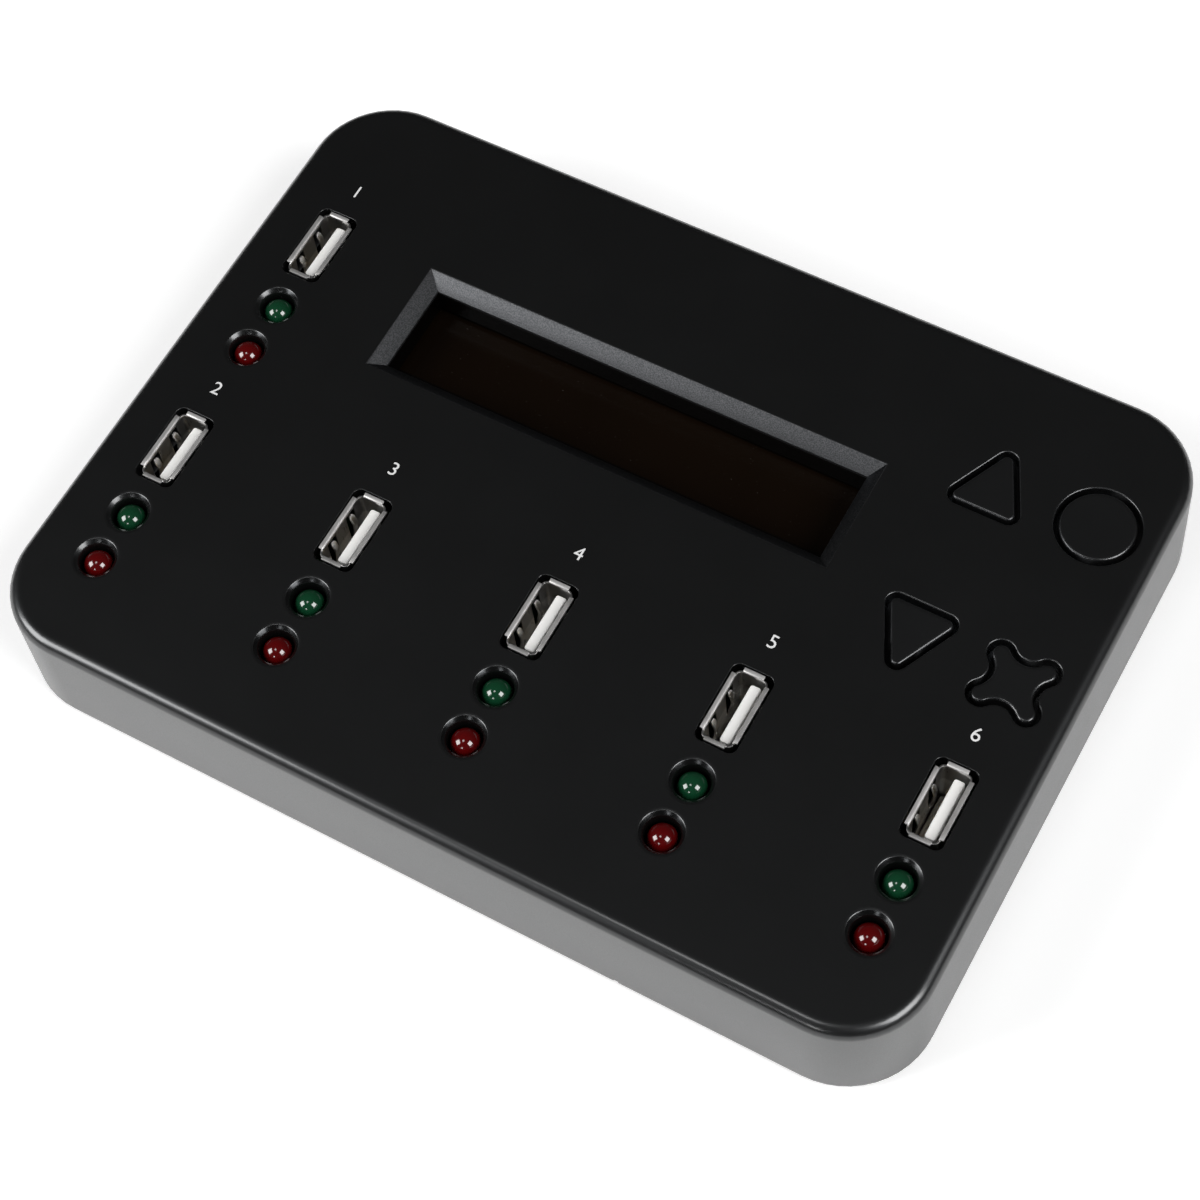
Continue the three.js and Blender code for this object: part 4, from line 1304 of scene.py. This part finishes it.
def make_number(number, x, y):
    """A printed numeral: flat text with a trace of thickness, made a mesh and then moved to its place."""
    thickness = 0.008 * MM
    text = bpy.data.curves.new(f"numeral_{number}", "FONT")
    text.body = str(number)
    text.align_x = "CENTER"
    text.align_y = "CENTER"
    text.size = NUMERAL_SIZE
    text.extrude = thickness
    source = place(bpy.data.objects.new(f"numeral_{number}_text", text))
    bpy.context.view_layer.update()
    mesh = bpy.data.meshes.new_from_object(source.evaluated_get(bpy.context.evaluated_depsgraph_get()))
    bpy.data.objects.remove(source)
    points = np.empty(3 * len(mesh.vertices))
    mesh.vertices.foreach_get("co", points)
    points = points.reshape(-1, 3) + [x, y, TOP_Z + thickness]
    mesh.vertices.foreach_set("co", points.ravel())
    mesh.name = f"numeral_{number}"
    return place(bpy.data.objects.new(f"numeral_{number}", mesh))


# Operators

class DUPLICATOR_OT_case_top(bpy.types.Operator):
    """Make the case's top cover, with its window, bowls and holes"""

    bl_idname = "duplicator.case_top"
    bl_label = "Case top"

    def execute(self, context):
        s = context.scene.duplicator
        plastic = shared("case_plastic_moulded", moulded_black, tuple(s.colours.case))
        top = make_case_top(s.case, s.socket, s.lamp, s.button)
        dress(top, plastic, "root", ["top_cover"])
        return {"FINISHED"}


class DUPLICATOR_OT_bottom_plate(bpy.types.Operator):
    """Make the bottom plate with its screw wells and foot seats"""

    bl_idname = "duplicator.bottom_plate"
    bl_label = "Bottom plate"

    def execute(self, context):
        s = context.scene.duplicator
        plastic = shared("case_plastic_moulded", moulded_black, tuple(s.colours.case))
        dress(make_bottom_plate(s.case), plastic, "root", ["bottom_plate"])
        return {"FINISHED"}


class DUPLICATOR_OT_sockets(bpy.types.Operator):
    """Make the six sockets: folded shells, contact springs, white tongues and contact strips"""

    bl_idname = "duplicator.sockets"
    bl_label = "Sockets"

    def execute(self, context):
        s = context.scene.duplicator
        # The shells' nickel carries painted shade, half the colour, in the band under the lips; the
        # springs' copy has none
        nickel = nickel_plate("socket_nickel_plate", tuple(s.colours.nickel), 0.5)
        bright = nickel_plate("spring_nickel_plate", tuple(s.colours.nickel))
        white = white_plastic("socket_white_plastic", tuple(s.colours.insulator))
        strip = steel("contact_strip", (0.78, 0.6, 0.3), 0.24)
        for number in SOCKET_NUMBERS:
            shell = make_socket_shell(s.socket, number)
            dress(shell, nickel, "root", [f"usb_shell_{number}"])
            dress(make_springs(s.socket, number), bright, "root")
            tongue = make_insulator(number)
            dress(tongue, white, "root", [f"usb_insulator_{number}"])
            dress(make_contacts(number), strip, "root")
        return {"FINISHED"}


class DUPLICATOR_OT_lamps(bpy.types.Operator):
    """Make the green and red lamps"""

    bl_idname = "duplicator.lamps"
    bl_label = "Lamps"

    def execute(self, context):
        s = context.scene.duplicator
        lenses = {
            "green": lamp_lens("green_lamp_lens", tuple(s.colours.green_lens)),
            "red": lamp_lens("red_lamp_lens", tuple(s.colours.red_lens)),
        }
        for number in SOCKET_NUMBERS:
            for kind, lens in lenses.items():
                node = f"{kind}_lamp_{number}"
                dress(make_lamp(node, s.lamp), lens, "root", [node])
        return {"FINISHED"}


class DUPLICATOR_OT_display(bpy.types.Operator):
    """Finish the character display and its frame"""

    bl_idname = "duplicator.display"
    bl_label = "Display"

    def execute(self, context):
        s = context.scene.duplicator
        centre = middle("display_glass")
        finish_node("display_glass", display_glass("display_cell", tuple(s.colours.display), centre))
        # The frame sits deep in the window's well; its near-black colour is painted shade there
        finish_node("display_frame", plain_black("display_frame_painted_shade", (0.002, 0.002, 0.002), 0.6))
        return {"FINISHED"}


class DUPLICATOR_OT_buttons(bpy.types.Operator):
    """Make the four shaped push buttons"""

    bl_idname = "duplicator.buttons"
    bl_label = "Buttons"

    def execute(self, context):
        s = context.scene.duplicator
        plastic = moulded_black("button_plastic_moulded", tuple(s.colours.buttons), 0.4)
        for name, hole in button_holes(s.button).items():
            cap = make_button(name, s.case, s.button, hole)
            dress(cap, plastic, f"{name}_button", [f"{name}_button"])
        return {"FINISHED"}


class DUPLICATOR_OT_numerals(bpy.types.Operator):
    """Print a plain number by each socket"""

    bl_idname = "duplicator.numerals"
    bl_label = "Numerals"

    def execute(self, context):
        s = context.scene.duplicator
        ink = white_print("white_print", tuple(s.colours.print_white))
        for number in SOCKET_NUMBERS:
            centre = middle(f"usb_shell_{number}")
            behind = FIRST_NUMERAL_BEHIND if number == 1 else NUMERAL_BEHIND
            dress(make_number(number, centre.x, centre.y + behind), ink, "root")
        return {"FINISHED"}


class DUPLICATOR_OT_rear(bpy.types.Operator):
    """Make the power inlet and the rocker switch on the rear wall"""

    bl_idname = "duplicator.rear"
    bl_label = "Rear wall parts"

    def execute(self, context):
        black = shared("component_black", plain_black)
        polished = plain_black("switch_polished", (0.01, 0.01, 0.011), 0.25)
        pin = steel("inlet_pin_plate", (0.6, 0.58, 0.55), 0.2)
        dress(make_inlet(), black, "root", ["power_inlet"])
        dress(make_pin(), pin, "root", ["inlet_pin"])
        dress(make_rocker_housing(), polished, "root", ["rocker_housing"])
        dress(make_rocker(), polished, "power_rocker", ["power_rocker"])
        return {"FINISHED"}


class DUPLICATOR_OT_fasteners(bpy.types.Operator):
    """Make the case screws and the rubber feet"""

    bl_idname = "duplicator.fasteners"
    bl_label = "Screws and feet"

    def execute(self, context):
        zinc = steel("screw_zinc", (0.5, 0.5, 0.5), 0.35)
        black_rubber = rubber("foot_rubber_black")
        for number in CORNER_NUMBERS:
            dress(make_screw(number), zinc, "root", [f"case_screw_{number}"])
            dress(make_foot(number), black_rubber, "root", [f"rubber_foot_{number}"])
        return {"FINISHED"}


class DUPLICATOR_OT_electronics(bpy.types.Operator):
    """Finish the circuit boards and the parts on them"""

    bl_idname = "duplicator.electronics"
    bl_label = "Electronics"

    def execute(self, context):
        board = circuit_board("solder_mask")
        black = shared("component_black", plain_black)
        for node in ("main_board", "display_board"):
            finish_node(node, board)
        for node in ("display_header", "controller_chip"):
            finish_node(node, black)
        finish_node("quartz_crystal", steel("crystal_can_steel", (0.55, 0.55, 0.56), 0.3, (0.3, 3.0, 3.0)))
        finish_node("capacitor", plain_black("capacitor_wrap", (0.01, 0.013, 0.035), 0.3))
        for name in BUTTONS:
            for part in ("switch", "plunger"):
                finish_node(f"{name}_{part}", black)
        return {"FINISHED"}


class DUPLICATOR_OT_stage(bpy.types.Operator):
    """Make the floor, the world, the softboxes and the camera"""

    bl_idname = "duplicator.stage"
    bl_label = "Stage"

    def execute(self, context):
        s = context.scene.duplicator
        make_floor(tuple(s.colours.floor))
        make_world()
        for name, direction, share, strength in SOFTBOXES:
            spread = s.stage.softbox_spread * share
            make_softbox(name, Vector(direction), s.stage, spread, strength)
        make_camera(s.stage)
        return {"FINISHED"}


# Each softbox's name, its direction, and its shares of the spread and of the radiance
SOFTBOXES = (
    ("Softbox left", (-0.625, -0.51, 0.59), 1.0, 1.0),
    ("Softbox right", (0.69, -0.066, 0.72), 1.0, 1.0),
    ("Small lamp above", (-0.128, -0.22, 0.967), 0.42, 0.6),
    ("Small lamp in front", (0.03, -0.888, 0.46), 0.3, 0.9),
)
CAMERA_PLACE = (0.1316, -0.17708, 0.40292)
CAMERA_TURN = (radians(28.312), radians(4.167), radians(29.274))
WHITE = (1.0, 1.0, 1.0, 1.0)


def make_floor(base):
    """A wide pale floor. It glows, more to the camera than in reflections, so that only shadow shows."""
    half = 4.0
    mesh = bpy.data.meshes.new("floor")
    corners = [(-half, -half, 0.0), (half, -half, 0.0), (half, half, 0.0), (-half, half, 0.0)]
    mesh.from_pydata(corners, [], [range(4)])
    floor = place(bpy.data.objects.new("floor", mesh))
    finish = Finish("pale_floor")
    seen = finish.ray("Camera")
    matt = finish.node("ShaderNodeBsdfDiffuse", inputs={"Color": (*base, 1.0)})
    mirrored = finish.ray("Glossy")
    strength = seen * 0.45 + mirrored * 0.09
    glow = finish.node("ShaderNodeEmission", inputs={"Color": WHITE, "Strength": strength})
    both = finish.node("ShaderNodeAddShader", inputs={"Shader": matt, "Shader_001": glow})
    finish.node("ShaderNodeOutputMaterial", inputs={"Surface": both})
    floor.data.materials.append(finish.owner)


def make_world():
    """A dim studio with a dark ceiling, as gloss and glass see it. To the camera it is white.

    Matt surfaces get half of its light.
    """
    world = bpy.data.worlds.new("Studio")
    bpy.context.scene.world = world
    finish = Finish(world)
    direction = finish.node("ShaderNodeTexCoord", output="Generated")
    height = finish.node("ShaderNodeSeparateXYZ", inputs={"Vector": direction}, output="Z")
    high = height.step(-0.02, 0.35)
    room = 0.08 - high * 0.06
    camera = finish.ray("Camera")
    glossy = finish.ray("Glossy")
    clear = finish.ray("Transmission")
    diffuse = room * 0.5
    mirrored = glossy.larger(clear)
    level = diffuse + mirrored * (room - diffuse)
    shown = level + camera * (1.0 - level)
    light = finish.node("ShaderNodeBackground", inputs={"Color": WHITE, "Strength": shown})
    finish.node("ShaderNodeOutputWorld", inputs={"Surface": light})


def make_softbox(name, direction, stage, spread, strength):
    """A square softbox that faces the object. Its power follows from its radiance and its area."""
    size = 2 * stage.softbox_distance * tan(spread / 2)
    lamp = bpy.data.lights.new(name, "AREA")
    lamp.shape = "SQUARE"
    lamp.size = size
    lamp.energy = pi * size**2 * stage.softbox_radiance * strength
    box = place(bpy.data.objects.new(name, lamp))
    box.visible_camera = False
    box.location = direction.normalized() * stage.softbox_distance
    box.rotation_euler = direction.to_track_quat("Z", "Y").to_euler()


def make_camera(stage):
    """The camera, where the photograph was taken from."""
    data = bpy.data.cameras.new("Camera")
    data.lens = stage.lens
    data.sensor_width = 36.0
    data.clip_start = 0.02
    data.clip_end = 20.0
    camera = place(bpy.data.objects.new("Camera", data))
    camera.location = CAMERA_PLACE
    camera.rotation_euler = CAMERA_TURN
    bpy.context.scene.camera = camera


OPERATORS = (
    DUPLICATOR_OT_stage,
    DUPLICATOR_OT_case_top,
    DUPLICATOR_OT_bottom_plate,
    DUPLICATOR_OT_sockets,
    DUPLICATOR_OT_lamps,
    DUPLICATOR_OT_display,
    DUPLICATOR_OT_buttons,
    DUPLICATOR_OT_numerals,
    DUPLICATOR_OT_rear,
    DUPLICATOR_OT_fasteners,
    DUPLICATOR_OT_electronics,
)


class DUPLICATOR_PT_panel(bpy.types.Panel):
    """The duplicator's steps and settings"""

    bl_idname = "DUPLICATOR_PT_panel"
    bl_label = "Duplicator"
    bl_space_type = "VIEW_3D"
    bl_region_type = "UI"
    bl_category = "Duplicator"

    def draw(self, context):
        for operator in OPERATORS:
            self.layout.operator(operator.bl_idname)
        for group in ("case", "socket", "lamp", "button", "colours", "stage"):
            values = getattr(context.scene.duplicator, group)
            box = self.layout.box()
            box.label(text=group.capitalize())
            for name in values.__annotations__:
                box.prop(values, name)


GROUPS = (CaseSizes, SocketSizes, LampSizes, ButtonSizes, Colours, StageSettings, DuplicatorSettings)
CLASSES = GROUPS + OPERATORS + (DUPLICATOR_PT_panel,)


def register():
    for item in CLASSES:
        bpy.utils.register_class(item)
    bpy.types.Scene.duplicator = PointerProperty(type=DuplicatorSettings)


def unregister():
    del bpy.types.Scene.duplicator
    for item in reversed(CLASSES):
        bpy.utils.unregister_class(item)


def main():
    """Registers the classes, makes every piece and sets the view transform."""
    register()
    bpy.context.scene.view_settings.view_transform = "Standard"
    for operator in OPERATORS:
        group, name = operator.bl_idname.split(".")
        getattr(getattr(bpy.ops, group), name)()


if __name__ == "__main__":
    main()
